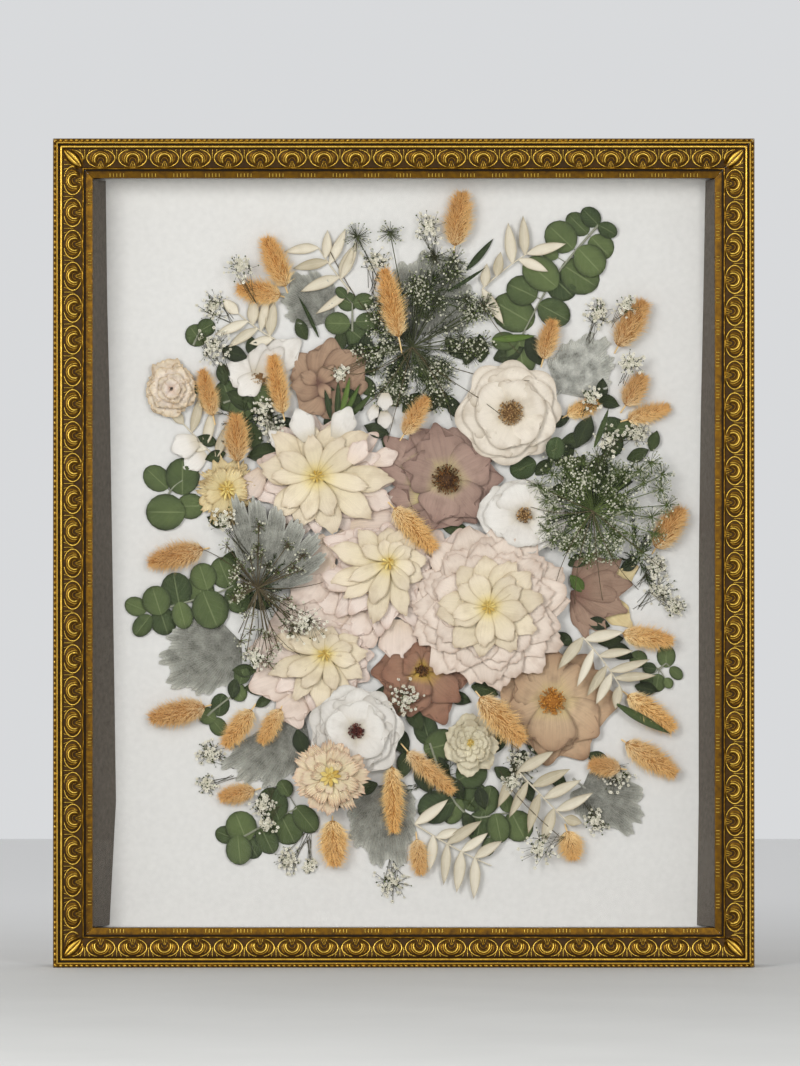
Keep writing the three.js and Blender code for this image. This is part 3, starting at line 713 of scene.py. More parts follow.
MOTIF = 25.4
STEPS_PER_MOTIF = 21
MITRE_GAP = 0.15
BEADS_PER_MOTIF = 6
BAND = (8.4, 22.9)
BAND_MIDDLE = sum(BAND) / 2
PROFILE = [
    (0.0, 46.4, 0.5), (0.4, 47.6, 0.45), (1.0, 48.0, 0.35), (1.5, 48.1, 0.35), (2.1, 48.1, 0.35),
    (2.6, 48.3, 0.5), (2.8, 49.1, 0.8), (3.1, 49.7, 0.95), (3.5, 50.0, 1.0), (3.9, 49.7, 0.95),
    (4.2, 48.9, 0.6), (4.5, 47.6, 0.1), (5.2, 47.4, 0.05), (5.5, 48.1, 0.5), (6.0, 48.7, 0.75),
    (6.6, 48.9, 0.85), (7.2, 48.7, 0.75), (7.7, 48.0, 0.4), (8.1, 47.5, 0.15), (8.4, 47.6, 0.2),
    (22.9, 45.1, 0.25), (23.2, 45.9, 0.5), (23.8, 46.5, 0.7), (24.4, 46.1, 0.5), (24.8, 44.9, 0.08),
    (25.7, 44.6, 0.08), (26.2, 45.1, 0.36), (27.2, 44.9, 0.4), (31.4, 44.0, 0.44), (31.75, 43.0, 0.3),
]
EXTRA_INSETS = [*np.arange(9.3, 22.8, 0.9), 29.2]
UNDERSIDE = [(31.75, 40.0), (25.4, 40.0), (25.4, 0.0), (0.0, 0.0)]
UNDERSIDE_BRIGHT = 0.3


def ease(value, low, high):
    t = np.clip((value - low) / (high - low), 0, 1)
    return t * t * (3 - 2 * t)


def ridge(distance, half_width):
    return np.sqrt(np.clip(1 - (distance / half_width) ** 2, 0, 1))


def eye_carving(x, y):
    """Height and brightness of the carved eye: x along the rail, y from the band's inner edge"""
    eye = np.hypot(x / 10.8, (y - 7.0) / 6.9)
    dome = np.sqrt(np.clip(1 - eye ** 2, 0, 1))
    crescent = ridge(np.hypot(x, y - 5.6) - 5.0, 1.8) * ease(y, 2.2, 3.8)
    hollow = ease(-np.hypot(x, y - 5.2), -3.8, -2.8)
    beyond = ease(eye, 1.0, 1.15) * ease(y, 5, 8)
    height = 1.5 * dome * (1 - 0.6 * hollow) + 0.5 * beyond + 0.6 * crescent
    return height, 0.2 * dome * (1 - hollow) + 0.02 * crescent + 0.08 * beyond


def corner_carving(inset, from_end):
    """Height of the leaf on the mitre, the same on both of its sides"""
    along = (inset + from_end) / 2 - BAND_MIDDLE
    across = np.abs(from_end - inset) / math.sqrt(2)
    half = np.maximum(3.6 * (1 - (along / 7.4) ** 2), 0.01)
    leaf = 1.6 * ridge(across, half) - 0.7 * np.exp(-(across / 0.55) ** 2) * (half > 1)
    outline = 1.1 * ridge(across - half - 1.5, 0.7) * ease(7.4 - np.abs(along), 0, 2)
    return np.maximum(np.maximum(leaf, outline), 0)


def moulding_surface(s, inset, half_length, phase):
    """Height, rubbed brightness and share of lines at places along the rail and across it"""
    x = MOTIF * (np.mod(s / MOTIF - phase + 0.5, 1) - 0.5)
    wavy = 0.4 * np.cos(TURN * x / MOTIF) * np.exp(-((inset - 23.2) / 1.2) ** 2)
    known = np.array(PROFILE).T
    height = np.interp(inset + wavy, known[0], known[1])
    bright = np.interp(inset + wavy, known[0], known[2])
    bead_pitch = MOTIF / BEADS_PER_MOTIF
    bead_x = np.mod(s, bead_pitch) - bead_pitch / 2
    bead = np.sqrt(np.clip(1 - (bead_x / 1.75) ** 2 - ((inset - 1.5) / 1.15) ** 2, 0, 1))
    height = height + 1.2 * bead
    bright = bright + 0.4 * bead
    in_band = ease(inset, 8.3, 9.0) * ease(-inset, -22.9, -22.3)
    from_end = half_length - np.abs(s)
    corner = 1 - ease(from_end - inset, 4.5, 8.5)
    carved, rubbed = eye_carving(x, BAND[1] - inset)
    leaf = corner_carving(inset, from_end)
    height = height + (carved * (1 - corner) + leaf * corner) * in_band
    bright = bright + (rubbed * (1 - corner) + 0.4 * leaf * corner) * in_band
    return height, np.clip(bright, 0, 1.2), 1 - corner


def loop_area(spots):
    """Twice the signed area inside a loop of flat points"""
    x, y = spots.T
    return float(np.sum(x * np.roll(y, -1) - y * np.roll(x, -1)))


def rail(name, length, phase, to_frame, materials):
    half_length = length / 2
    insets = np.array(sorted([row[0] for row in PROFILE] + list(EXTRA_INSETS)))
    steps = int(length / MOTIF * STEPS_PER_MOTIF)
    even = np.linspace(-half_length, half_length, steps)[:, None]
    free = half_length - RAIL_WIDTH - MOTIF / 2
    reach = half_length - MITRE_GAP - np.concatenate([insets, [row[0] for row in UNDERSIDE]])[None, :]
    beyond = np.maximum(np.abs(even) - free, 0) / (half_length - free)
    s = np.sign(even) * (np.minimum(np.abs(even), free) + beyond * (reach - free))
    top_s = s[:, :len(insets)]
    height, bright, lined = moulding_surface(top_s, insets[None, :] + 0 * top_s, half_length, phase)
    under = np.array(UNDERSIDE)
    all_insets = np.concatenate([insets, under[:, 0]])[None, :] + 0 * s
    heights = np.concatenate([height, under[:, 1] + np.zeros((steps, 1))], 1)
    brights = np.concatenate([bright, np.full((steps, len(under)), UNDERSIDE_BRIGHT)], 1)
    lined = np.concatenate([lined, np.zeros((steps, len(under)))], 1)
    loop = s.shape[1]
    i, j = np.meshgrid(np.arange(steps - 1), np.arange(loop), indexing="ij")
    a, b = i * loop + j, i * loop + (j + 1) % loop
    sides = np.concatenate([np.stack([a, b, a + loop], -1).reshape(-1, 3),
                            np.stack([b, b + loop, a + loop], -1).reshape(-1, 3)])
    wood = np.tile((j.ravel() >= len(insets)) & (j.ravel() < loop - 1), 2)
    section = np.stack([all_insets[0], heights[0]], -1)
    cap = np.array(tessellate_polygon([[Vector((*spot, 0)) for spot in section]]))
    with_loop = [loop_area(section[triangle]) * loop_area(section) > 0 for triangle in cap]
    near = np.where(np.array(with_loop)[:, None], cap[:, ::-1], cap)
    far = near[:, ::-1] + (steps - 1) * loop
    sheaf = Sheaf()
    points = np.stack([s, all_insets, heights], -1).reshape(-1, 3)
    triangles = np.concatenate([sides, near, far])
    looks = np.concatenate([wood.astype(int), np.ones(len(near) + len(far), int)])
    turns = s / MOTIF - phase + 0.5
    sheaf.add(to_frame(points), triangles, brights.ravel(), turns.ravel(), all_insets.ravel(), looks,
              lined.ravel())
    add_piece(name + "_carved", sheaf, materials, "gilt", name, lambda placed: placed,
              CARVING_SMOOTH_UP_TO)


def add_rails(materials):
    def standing(x, p, z):
        return np.column_stack([x, RAILS_BACK_Y - p[:, 2], z])

    rails = {
        "top": (WIDTH, 0.5, lambda p: standing(p[:, 0], p, HEIGHT - p[:, 1])),
        "bottom": (WIDTH, 0.5, lambda p: standing(p[:, 0], p, p[:, 1])),
        "left": (HEIGHT, -0.32, lambda p: standing(p[:, 1] - WIDTH / 2, p, HEIGHT / 2 + p[:, 0])),
        "right": (HEIGHT, -0.42, lambda p: standing(WIDTH / 2 - p[:, 1], p, HEIGHT / 2 + p[:, 0])),
    }
    for side, (length, phase, to_frame) in rails.items():
        rail("frame_rail_" + side, length, phase, to_frame, materials)


# Leaves

def nearest_on(line, spot):
    fine = np.concatenate([np.linspace(line[i], line[i + 1], 12) for i in range(len(line) - 1)])
    return fine[np.argmin(np.hypot(*(fine - spot).T))]


# Leaves are drawn a little larger than they are measured, because their edges turn away
LEAF_FULLNESS = 1.16
ROUND_LEAF = {"disc": True, "round_off": 0.0, "cup": -0.5, "crumple": 0.45, "thickness": 0.35}
POINTED_LEAF = {"fullest": 0.38, "stub": 0.16, "end": 0.03, "round_off": 0.03, "keel": -1.3, "crumple": 0.25,
                "wave": 12, "rows": 11, "cols": 7}
LONGEST_POINTED = 42 * PX
POINTED_WIDTH = 11 * PX
BLADE = {"keel": -0.7, "bend": 0.06, "rows": 12, "cols": 5, "fullest": 0.4, "end": 0.04, "round_off": 0.03}


def round_leaves(name, along, leaves, levels, materials, replaces=None):
    """A eucalyptus spray: leaves as [x, y, radius] in pixels along a stem through pixels"""
    rng = seeded(name)
    sheaf = Sheaf()
    line = np.array([place(*spot) for spot in along])
    low, high = levels
    stem_w = low + 0.5 * (high - low)
    tube(sheaf, curve_through([[*spot, stem_w] for spot in line], 12), SPRAY_STEM, tone=0.2, look=1)
    for i, (px, py, radius) in enumerate(leaves):
        middle = place(px, py)
        radius = radius * PX * LEAF_FULLNESS
        joint = nearest_on(line, middle)
        away = middle - joint
        gap = math.hypot(*away)
        heading = math.atan2(away[1], away[0]) if gap > 1 else rng.uniform(0, TURN)
        foot = middle - radius * towards(heading)
        w = low + (high - low) * (0.1 + 0.4 * (i % 3))
        if gap > radius:
            sticks(sheaf, [*joint, stem_w], [*foot, w], LEAF_STALK, 0.2, look=1)
        petal(sheaf, rng, foot, heading, 2 * radius, 2 * radius * rng.uniform(0.74, 1.0), w, w + 0.5,
              tilt=rng.uniform(-1.1, 1.1), **ROUND_LEAF)
    add_piece(name, sheaf, materials, "green_leaf", replaces)


def pointed_leaves(name, along, leaves, levels, materials, replaces=None):
    """A bleached ruscus sprig: pointed leaves whose middles are given, held forward on the stem"""
    rng = seeded(name)
    sheaf = Sheaf()
    line = np.array([place(*spot) for spot in along])
    low, high = levels
    stem_w = low + 0.35 * (high - low)
    tube(sheaf, curve_through([[*spot, stem_w] for spot in line], 12), RUSCUS_STEM, tone=0.3)
    forward = (line[-1] - line[0]) / math.hypot(*(line[-1] - line[0]))
    for i, spot in enumerate(leaves):
        middle = place(*spot)
        joint = nearest_on(line, middle - 8 * PX * forward)
        away = middle - joint
        length = min(2.3 * max(math.hypot(*away), 4), LONGEST_POINTED)
        w = low + (high - low) * (0.25 + 0.2 * (i % 3))
        width = POINTED_WIDTH * rng.uniform(0.85, 1.1)
        petal(sheaf, rng, joint, math.atan2(away[1], away[0]), length, width, w, w + 0.8,
              bend=rng.uniform(-0.12, 0.12), tilt=rng.uniform(-0.6, 0.6), curl=rng.uniform(-0.3, 0.8),
              **POINTED_LEAF)
    add_piece(name, sheaf, materials, "bleached_leaf", replaces)


def fan_leaf(name, foot, tips, levels, material, petiole=None, replaces=None, notch=0.13, teeth=3, pleat=0.5):
    """A felted lobed leaf that fans out from its foot to its tips, given in order round it"""
    rng = seeded(name)
    sheaf = Sheaf()
    base = place(*foot)
    corners = np.array([place(*tip) for tip in tips]) - base
    lobes = len(tips) - 1
    per_lobe = 12
    j = np.arange(lobes * per_lobe + 1) / per_lobe
    heading = np.interp(j, np.arange(len(tips)), np.unwrap(np.arctan2(corners[:, 1], corners[:, 0])))
    reach = np.interp(j, np.arange(len(tips)), np.hypot(*corners.T))
    between = 1 - np.abs(2 * (j % 1) - 1)
    scallop = np.abs(np.sin(math.pi * teeth * j))
    reach = reach * (1 - notch * between ** 3 - 0.06 * (1 - scallop) + rng.normal(0, 0.012, len(j)))
    t = np.linspace(0.03, 1, 9)[:, None]
    s = np.linspace(-1, 1, len(j))[None, :]
    low, high = levels
    middle = (low + high) / 2
    u = base[0] + np.cos(heading) * reach * t
    v = base[1] + np.sin(heading) * reach * t
    w = middle + pleat * np.sin(s * TURN * lobes) * t + 0.3 * crumple_field(rng, 14)(u, v) * t
    w = np.maximum(w + 0.9 * t ** 8 * (0.5 + 0.5 * np.sin(s * 31)), 0.5)
    shell(sheaf, np.stack([u, v, w], -1), 0.4, t + 0 * s, s + 0 * t, 0.5)
    if petiole is not None:
        end = place(*petiole)
        line = [[*(base + (base - end) * 0.3), middle + 0.3], [*base, middle], [*end, max(low, 0.8)]]
        tube(sheaf, curve_through(line, 8), FELT_STALK, tone=0.9)
    add_piece(name, sheaf, [material], "silver_leaf", replaces)


def blade(name, start, end, width, material):
    """A narrow grass-like leaf between two pixels, laid on what is under it"""
    sheaf = Sheaf()
    w = pile.top(np.linspace(place(*start), place(*end), 8), 0.7) + 0.8
    petal_between(sheaf, seeded(name), start, end, width, w, w + 0.4, **BLADE)
    add_piece(name, sheaf, [material], "green_leaf")


# Bunny tails

# A tail's thickness and measured width as shares of its width, and the core that its hair stands on
TAIL_FLATNESS = 0.6
TAIL_FULLNESS = 1.14
TAIL_CORE = 0.58
HAIRS = 1600
HAIR_LENGTH = 9.0
FRINGE_SHARE = 0.5
TYPICAL_TAIL_WIDTH = 27


def bunny_tail(name, base, tip, width, stalk, material, low=None, replaces=None):
    """A flattened seed head from base to tip in pixels, with its hair lying towards the tip"""
    rng = seeded(name)
    sheaf = Sheaf()
    foot, end = place(*base), place(*tip)
    away = end - foot
    length = math.hypot(*away)
    radius = width * PX / 2 * TAIL_FULLNESS
    body = radius * TAIL_CORE
    if low is None:
        low = pile.top(np.linspace(foot, end, 9)) + 0.2
    centre = low + radius * TAIL_FLATNESS
    ahead = np.array([away[0] / length, away[1] / length, 0])
    aside = np.array([-ahead[1], ahead[0], 0])
    root = np.array([*foot, centre])

    def girth(t):
        return np.sin(math.pi * np.clip(t, 0, 1) ** 0.72) ** 0.62

    def outward(turns):
        return np.cos(turns)[:, None] * aside + np.sin(turns)[:, None] * np.array([0, 0, TAIL_FLATNESS])

    rows, sides = 9, 12
    t = np.linspace(0.01, 0.96, rows)
    around = outward(TURN * np.arange(sides) / sides)
    rings = [root + ahead * length * step + body * girth(step) * around for step in t]
    points = np.concatenate([*rings, [root], [root + ahead * length]])
    tint = rng.uniform(0, 1)
    # The core takes a low tone, dark brown in the hair's material: painted shade under the hair
    sheaf.add(points, pipe_triangles(rows, sides), np.concatenate([np.repeat(t, sides), [0, 1]]), tint, 0.12)

    t = rng.uniform(0.02, 0.97, HAIRS)
    away = outward(rng.uniform(0, TURN, HAIRS))
    roots = root + ahead * length * t[:, None] + away * (body * girth(t))[:, None] * 0.95
    fringe = rng.uniform(0, 1, HAIRS) < FRINGE_SHARE
    spread = np.where(fringe, rng.uniform(0.7, 1.5, HAIRS), rng.uniform(0.15, 0.8, HAIRS))
    lean = away * spread[:, None] + 0.85 * ahead + rng.normal(0, 0.3, (HAIRS, 3))
    lean = lean / np.linalg.norm(lean, axis=1, keepdims=True)
    reach = HAIR_LENGTH * (width / TYPICAL_TAIL_WIDTH) ** 0.5 * rng.uniform(0.5, 1.1, HAIRS)
    reach = reach * (0.6 + 0.9 * t - 0.95 * t ** 2)
    ends = roots + lean * (reach * np.where(fringe, 1.35, 0.9))[:, None]
    ends[:, 2] = np.maximum(ends[:, 2], 0.3)
    roots[:, 2] = np.maximum(roots[:, 2], 0.5)
    tone = np.where(fringe, 0.92, rng.uniform(0.05, 0.95, HAIRS))
    thick = np.where(fringe, 0.23, 0.3)[:, None, None]
    feet = roots[:, None] + spokes(ends - roots, [0.2, 0.3, 0.93]) * thick
    hairs = np.concatenate([feet, ends[:, None]], 1)
    tones = np.column_stack([tone, tone, tone, np.minimum(tone + 0.35, 1.2)])
    sheaf.add(hairs, copies(SPIKE, HAIRS, 4), np.repeat(t, 4), tint, tones)
    stem = [[*(foot + (end - foot) * 0.1), centre], [*place(*stalk), max(low + 0.8, 0.8)]]
    tube(sheaf, curve_through(stem, 5), TAIL_STALK, tone=0.8, along=0.1)
    add_piece(name, sheaf, [material], "tail_fluff", replaces)


# Flowers

ROUND = {"fullest": 0.64, "stub": 0.45, "end": 0.6, "round_off": 0.3, "tilt": 0.6, "cup": 0.4, "crumple": 0.4,
         "cols": 11}
SCALE = {"fullest": 0.6, "stub": 0.5, "end": 0.5, "round_off": 0.3, "tilt": 0.5, "cup": 0.7,
         "crumple": 0.4, "wave": 7}
DAHLIA = {"start": 0.015, "fullest": 0.68, "stub": 0.12, "end": 0.55, "round_off": 0.15, "tilt": 0.6,
          "keel": -0.6, "frill": 0.035, "waves": 2, "crumple": 0.35, "rows": 11, "cols": 9}
RUFFLE = {"fullest": 0.7, "stub": 0.45, "end": 0.72, "round_off": 0.16, "tilt": 0.5, "ruffle": 0.55,
          "frill": 0.035, "crumple": 0.5, "wave": 7, "waves": 3}
FRILL = {"fullest": 0.75, "stub": 0.25, "end": 0.85, "round_off": 0.1, "tilt": 0.4, "ruffle": 0.9,
         "frill": 0.1, "crumple": 0.6, "wave": 4, "waves": 5, "keel": -0.5, "rows": 10, "cols": 11}
LIMP = {"fullest": 0.6, "stub": 0.35, "end": 0.5, "round_off": 0.3, "tilt": 0.7, "ruffle": 0.5, "waves": 2,
        "crumple": 0.6, "wave": 13}
THREADS = {**DAHLIA, "rows": 6, "cols": 3}


def stamens(sheaf, rng, at, radius, w, height, count, look=1, size=0.75):
    """A dome of tiny anthers on short threads"""
    middle = place(*at)
    out = radius * PX * np.sqrt(rng.uniform(0, 1, count))
    heading = rng.uniform(0, TURN, count)
    share = out / (radius * PX)
    rise = height * (1 - 0.6 * share ** 2) * rng.uniform(0.7, 1.1, count)
    tops = spots_round(middle, out, heading, w + rise)
    feet = spots_round(middle, 0.55 * out, heading, w - 0.5)
    scatter(sheaf, rng, BUD, [*middle, w], radius * PX * 0.75, 0, 0.1, look, flat=0.5)
    sticks(sheaf, feet, tops, FINE_THREAD, rng.uniform(0.1, 0.7, count), look)
    scatter(sheaf, rng, BUD, tops, size * rng.uniform(0.6, 1.2, count), 1.2, rng.uniform(0, 1, count), look)


def flower(node, at, reach, rings, materials, slot, core):
    """Rings of petals given from the lowest to the topmost, then the stamens"""
    rng = seeded(node)
    sheaf = Sheaf()
    low, high = node_levels(node)
    depth = high - low
    for count, span, width, foot_share, tip_share, style, extra in rings:
        ring(sheaf, rng, at, reach, count, span, width, low + depth * foot_share, low + depth * tip_share,
             **{**style, **extra})
    if core:
        radius, share, height, anthers, look = core
        stamens(sheaf, rng, at, radius, low + depth * share, height, anthers, look)
    add_piece(node + "_petals", sheaf, materials, slot, node)


def free_petals(sheaf, rng, at, petals, low, high, **shape):
    """Single petals from a middle to their tips, each tip with its width in pixels and level"""
    for tip, width, share in petals:
        level = low + (high - low) * share
        petal_between(sheaf, rng, at, tip, width, level, level + 0.8, **shape)


# Each dried petal's colours at its foot, body, tip and edge, then the strength and number of its veins. The
# darker edge colour tints blotches and is painted shade along the petal's rim
PETALS = {
    "ivory": ((216, 200, 162), (236, 226, 208), (240, 231, 216), (166, 148, 122), 0.16),
    "white": ((208, 198, 176), (230, 225, 216), (236, 233, 226), (168, 160, 146), 0.14),
    "cream": ((230, 208, 116), (234, 220, 186), (236, 222, 198), (174, 150, 112), 0.2),
    "pale_pink": ((234, 216, 194), (236, 219, 204), (238, 223, 212), (178, 144, 122), 0.2),
    "blush": ((234, 216, 182), (236, 219, 200), (240, 226, 212), (172, 142, 118), 0.18),
    "mauve": ((206, 192, 134), (172, 145, 130), (162, 133, 120), (88, 64, 54), 0.45, 14),
    "terracotta": ((204, 168, 66), (162, 124, 100), (148, 106, 84), (70, 44, 34), 0.5, 14),
    "taupe": ((218, 198, 140), (204, 176, 142), (186, 152, 120), (98, 70, 50), 0.45, 14),
    "butter": ((224, 184, 62), (226, 209, 156), (226, 208, 164), (178, 146, 92), 0.4),
    "frilled": ((226, 212, 136), (232, 219, 178), (232, 212, 184), (202, 162, 136), 0.25),
    "spray_rose": ((198, 190, 112), (222, 213, 180), (230, 222, 196), (156, 138, 98), 0.22),
    "crumpled": ((208, 186, 168), (232, 217, 204), (234, 221, 196), (190, 156, 100), 0.3),
    "dusk": ((88, 56, 48), (170, 140, 114), (178, 150, 124), (82, 54, 42), 0.5, 12),
    "fan": ((124, 88, 74), (160, 132, 112), (170, 142, 122), (104, 76, 62), 0.5, 14),
}
ANTHERS = {
    "tan_anthers": ((92, 62, 34), (206, 168, 112)), "dark_anthers": ((48, 30, 18), (142, 98, 52)),
    "golden_anthers": ((150, 92, 30), (226, 164, 74)), "maroon_anthers": ((42, 16, 16), (116, 56, 42)),
    "yellow_threads": ((196, 160, 70), (234, 216, 140)),
}
# The flowers laid petal by petal: groups of a middle, the petals' style and each petal's tip, width
# and level, then the looks and the slot
FREE_FLOWERS = {
    "pink_hellebore": ([
        ((322, 388), LIMP, [((296, 352), 42, 0.2), ((332, 336), 44, 0.35), ((366, 350), 46, 0.5),
                            ((368, 384), 40, 0.3), ((344, 420), 34, 0.45), ((300, 412), 36, 0.6),
                            ((290, 384), 30, 0.75)]),
        ((318, 382), {**LIMP, "ruffle": 1.0}, [((300, 372), 16, 0.9), ((334, 364), 18, 0.95),
                                               ((330, 398), 14, 0.95)])], ["dusk"], "mauve_petal"),
    "pale_blossom": ([
        ((258, 374), ROUND, [((224, 366), 36, 0.3), ((238, 394), 26, 0.5), ((300, 338), 34, 0.4),
                             ((262, 342), 26, 0.6), ((282, 346), 24, 0.8)])],
        ["white", "tan_anthers"], "ivory_petal"),
    "dusky_fan": ([
        ((576, 590), {**LIMP, "frill": 0.03}, [
            ((600, 552), 30, 0.2), ((622, 560), 34, 0.5), ((634, 584), 34, 0.7), ((628, 612), 34, 0.55),
            ((606, 634), 32, 0.3), ((588, 640), 22, 0.15)]),
        ((600, 596), {**LIMP, "look": 1}, [((640, 566), 22, 0.05), ((634, 628), 26, 0.0)])],
        ["fan", "butter"], "mauve_petal"),
}
BLOSSOM_HEART = ((260, 374), 11, 2.0, 2.0, 130)
HALF = {"turn": 0.5}
OUTER = {"look": 1}
FREE = {"wander": 0.6}
AGED = {"crumple": 1.6, "wave": 5}
TORN = {"crumple": 1.1, "wave": 9}


def pressed_dahlia(outer, middle, inner, heart, spans, threads):
    """Rings of broad scales under rings of pointed petals, each ring given as its count and width"""
    return [
        (outer[0], 1.0, outer[1], 0.05, 0.3, SCALE, OUTER),
        (middle[0], spans[0], middle[1], 0.25, 0.5, SCALE, {**OUTER, **HALF}),
        (inner[0], spans[1], inner[1], 0.5, 0.75, DAHLIA, FREE),
        (heart[0], spans[2], heart[1], 0.7, 0.95, DAHLIA, {**HALF, **FREE}),
        (9, threads, 2.2, 0.85, 1.0, THREADS, {"look": 2})]


DAHLIA_LOOKS = (["cream", "pale_pink", "yellow_threads"], "cream_petal", (2, 0.8, 0.8, 12, 2))
# Each flower's middle, its reaches to the left, right, top and bottom, and its rings: the count, the
# share of the reach, the width, the levels of foot and tip and the style. Then the looks, the slot and
# the heart: its radius, level, height, number of anthers and look
FLOWERS = {
    "dried_rose": ((170, 388), (26, 25, 29, 28), [
        (7, 1.0, 30, 0.1, 0.35, FRILL, {**AGED, "frill": 0.05}), (6, 0.85, 26, 0.3, 0.65, ROUND, AGED),
        (5, 0.6, 20, 0.5, 0.85, ROUND, AGED), (4, 0.4, 14, 0.6, 1.0, ROUND, AGED)],
        ["crumpled"], "blush_petal", None),
    "small_dahlia_left": ((226, 489), (30, 28, 32, 38), [
        (10, 1.0, 19, 0.1, 0.4, FRILL, {"frill": 0.14}), (8, 0.76, 15, 0.35, 0.8, FRILL, HALF),
        (10, 0.3, 2.4, 0.7, 1.0, THREADS, OUTER)],
        ["butter", "yellow_threads"], "cream_petal", (4, 0.8, 1.4, 40, 1)),
    "taupe_anemone": ((553, 702), (58, 72, 60, 70), [
        (7, 1.0, 60, 0.05, 0.35, LIMP, TORN), (6, 0.84, 50, 0.3, 0.6, LIMP, {**TORN, "turn": 0.4}),
        (1, 0.72, 46, 0.7, 0.95, ROUND, {"turn": 0.745, "wander": 0, "end": 0.7, "fullest": 0.6})],
        ["taupe", "golden_anthers"], "taupe_petal", (14, 0.85, 3.0, 260, 1)),
    "terracotta_anemone": ((422, 671), (50, 62, 36, 64), [
        (6, 1.0, 44, 0.05, 0.4, LIMP, {}), (5, 0.8, 36, 0.35, 0.75, LIMP, HALF),
        (3, 0.5, 26, 0.6, 0.95, LIMP, {"turn": 0.2, "ruffle": 1.0})],
        ["terracotta", "dark_anthers"], "mauve_petal", (7, 0.75, 2.4, 90, 1)),
    "mauve_anemone": ((447, 479), (50, 56, 64, 51), [
        (6, 1.1, 56, 0.05, 0.4, LIMP, {"crumple": 0.8, "end": 0.28}),
        (5, 0.96, 46, 0.3, 0.75, LIMP, {"turn": 0.4, "crumple": 0.8, "end": 0.32})],
        ["mauve", "dark_anthers"], "mauve_petal", (15, 0.7, 3.2, 300, 1)),
    "white_cosmos": ((525, 515), (47, 45, 37, 37), [
        (6, 1.0, 54, 0.05, 0.45, ROUND, {"frill": 0.03, "end": 0.8}),
        (5, 0.88, 46, 0.4, 0.9, ROUND, {**HALF, "frill": 0.03, "end": 0.75})],
        ["white", "tan_anthers"], "ivory_petal", (8, 0.75, 3.0, 130, 1)),
    "ivory_rose": ((511, 412), (55, 55, 56, 56), [
        (8, 1.0, 56, 0.05, 0.28, ROUND, {"end": 0.75}),
        (7, 0.85, 54, 0.25, 0.52, ROUND, {**HALF, "end": 0.75}),
        (6, 0.66, 48, 0.5, 0.82, ROUND, {"turn": 0.2, "end": 0.7})],
        ["ivory", "tan_anthers"], "ivory_petal", (13, 0.72, 3.0, 240, 1)),
    "cream_dahlia": ((316, 476), (66, 84, 66, 64), pressed_dahlia(
        (11, 38), (10, 34), (10, 28), (9, 20), (0.88, 0.9, 0.68), 0.11), *DAHLIA_LOOKS),
    "low_dahlia": ((325, 654), (78, 50, 32, 68), pressed_dahlia(
        (10, 38), (9, 32), (11, 22), (8, 18), (0.88, 0.84, 0.62), 0.12), *DAHLIA_LOOKS),
    "primrose_dahlia": ((389, 562), (76, 46, 42, 78), pressed_dahlia(
        (11, 38), (10, 32), (11, 22), (8, 17), (0.86, 0.8, 0.58), 0.11), *DAHLIA_LOOKS),
    "great_dahlia": ((489, 607), (82, 86, 80, 85), [
        (14, 1.0, 42, 0.05, 0.16, RUFFLE, OUTER), (13, 0.9, 40, 0.15, 0.3, RUFFLE, {**OUTER, **HALF}),
        (12, 0.79, 36, 0.28, 0.45, RUFFLE, {**OUTER, "turn": 0.2, "wander": 0.5}),
        (10, 0.69, 34, 0.42, 0.58, RUFFLE, {**OUTER, "wander": 0.5}),
        (11, 0.63, 26, 0.58, 0.76, DAHLIA, {**FREE, "end": 0.62}),
        (9, 0.48, 20, 0.72, 0.92, DAHLIA, {**HALF, **FREE, "end": 0.6}),
        (9, 0.09, 2.4, 0.86, 1.0, THREADS, {"look": 2})],
        ["cream", "blush", "yellow_threads"], "blush_petal", (2, 0.82, 0.8, 12, 2)),
    "spray_rose": ((471, 744), (27, 30, 32, 36), [
        (7, 1.0, 26, 0.05, 0.35, RUFFLE, {}), (8, 0.74, 18, 0.25, 0.8, RUFFLE, {"curl": 1.0}),
        (8, 0.58, 13, 0.35, 0.95, RUFFLE, {"curl": 1.2}), (7, 0.42, 9, 0.4, 0.9, RUFFLE, {"curl": 1.0}),
        (6, 0.26, 6, 0.4, 0.8, RUFFLE, {})],
        ["spray_rose", "yellow_threads"], "cream_petal", (4, 0.5, 1.5, 30, 1)),
    "white_rose": ((356, 732), (52, 48, 50, 51), [
        (7, 1.0, 56, 0.05, 0.3, ROUND, {}), (6, 0.84, 52, 0.3, 0.55, ROUND, HALF),
        (5, 0.64, 44, 0.55, 0.85, ROUND, {"turn": 0.2})],
        ["white", "maroon_anthers"], "ivory_petal", (8, 0.72, 2.4, 120, 1)),
    "button_dahlia": ((330, 777), (38, 38, 36, 38), [
        (12, 1.0, 18, 0.1, 0.45, FRILL, {"frill": 0.09}),
        (11, 0.8, 14, 0.35, 0.8, FRILL, {**HALF, "frill": 0.08}),
        (8, 0.5, 9, 0.55, 0.9, FRILL, {}), (9, 0.3, 4, 0.75, 1.0, THREADS, OUTER)],
        ["frilled", "yellow_threads"], "cream_petal", (4, 0.8, 1.2, 40, 1)),
}


def flower_looks():
    looks = {key: petal_material(key + "_petal", *colours) for key, colours in PETALS.items()}
    looks.update({key: mottled_material(key, *colours, 700) for key, colours in ANTHERS.items()})
    return looks


def add_flowers(looks):
    for node, (groups, names, slot) in FREE_FLOWERS.items():
        rng = seeded(node)
        sheaf = Sheaf()
        levels = node_levels(node)
        for at, style, petals in groups:
            free_petals(sheaf, rng, at, petals, *levels, **style)
        if node == "pale_blossom":
            at, radius, above, height, anthers = BLOSSOM_HEART
            stamens(sheaf, rng, at, radius, levels[0] + above, height, anthers, size=0.5)
        add_piece(node + "_petals", sheaf, [looks[key] for key in names], slot, node)
    for node, (at, reach, rings, names, slot, core) in FLOWERS.items():
        flower(node, at, reach, rings, [looks[key] for key in names], slot, core)


# Umbels and sprigs of tiny flowers

# The share of florets that are open
OPEN_IN_UMBEL = 0.55


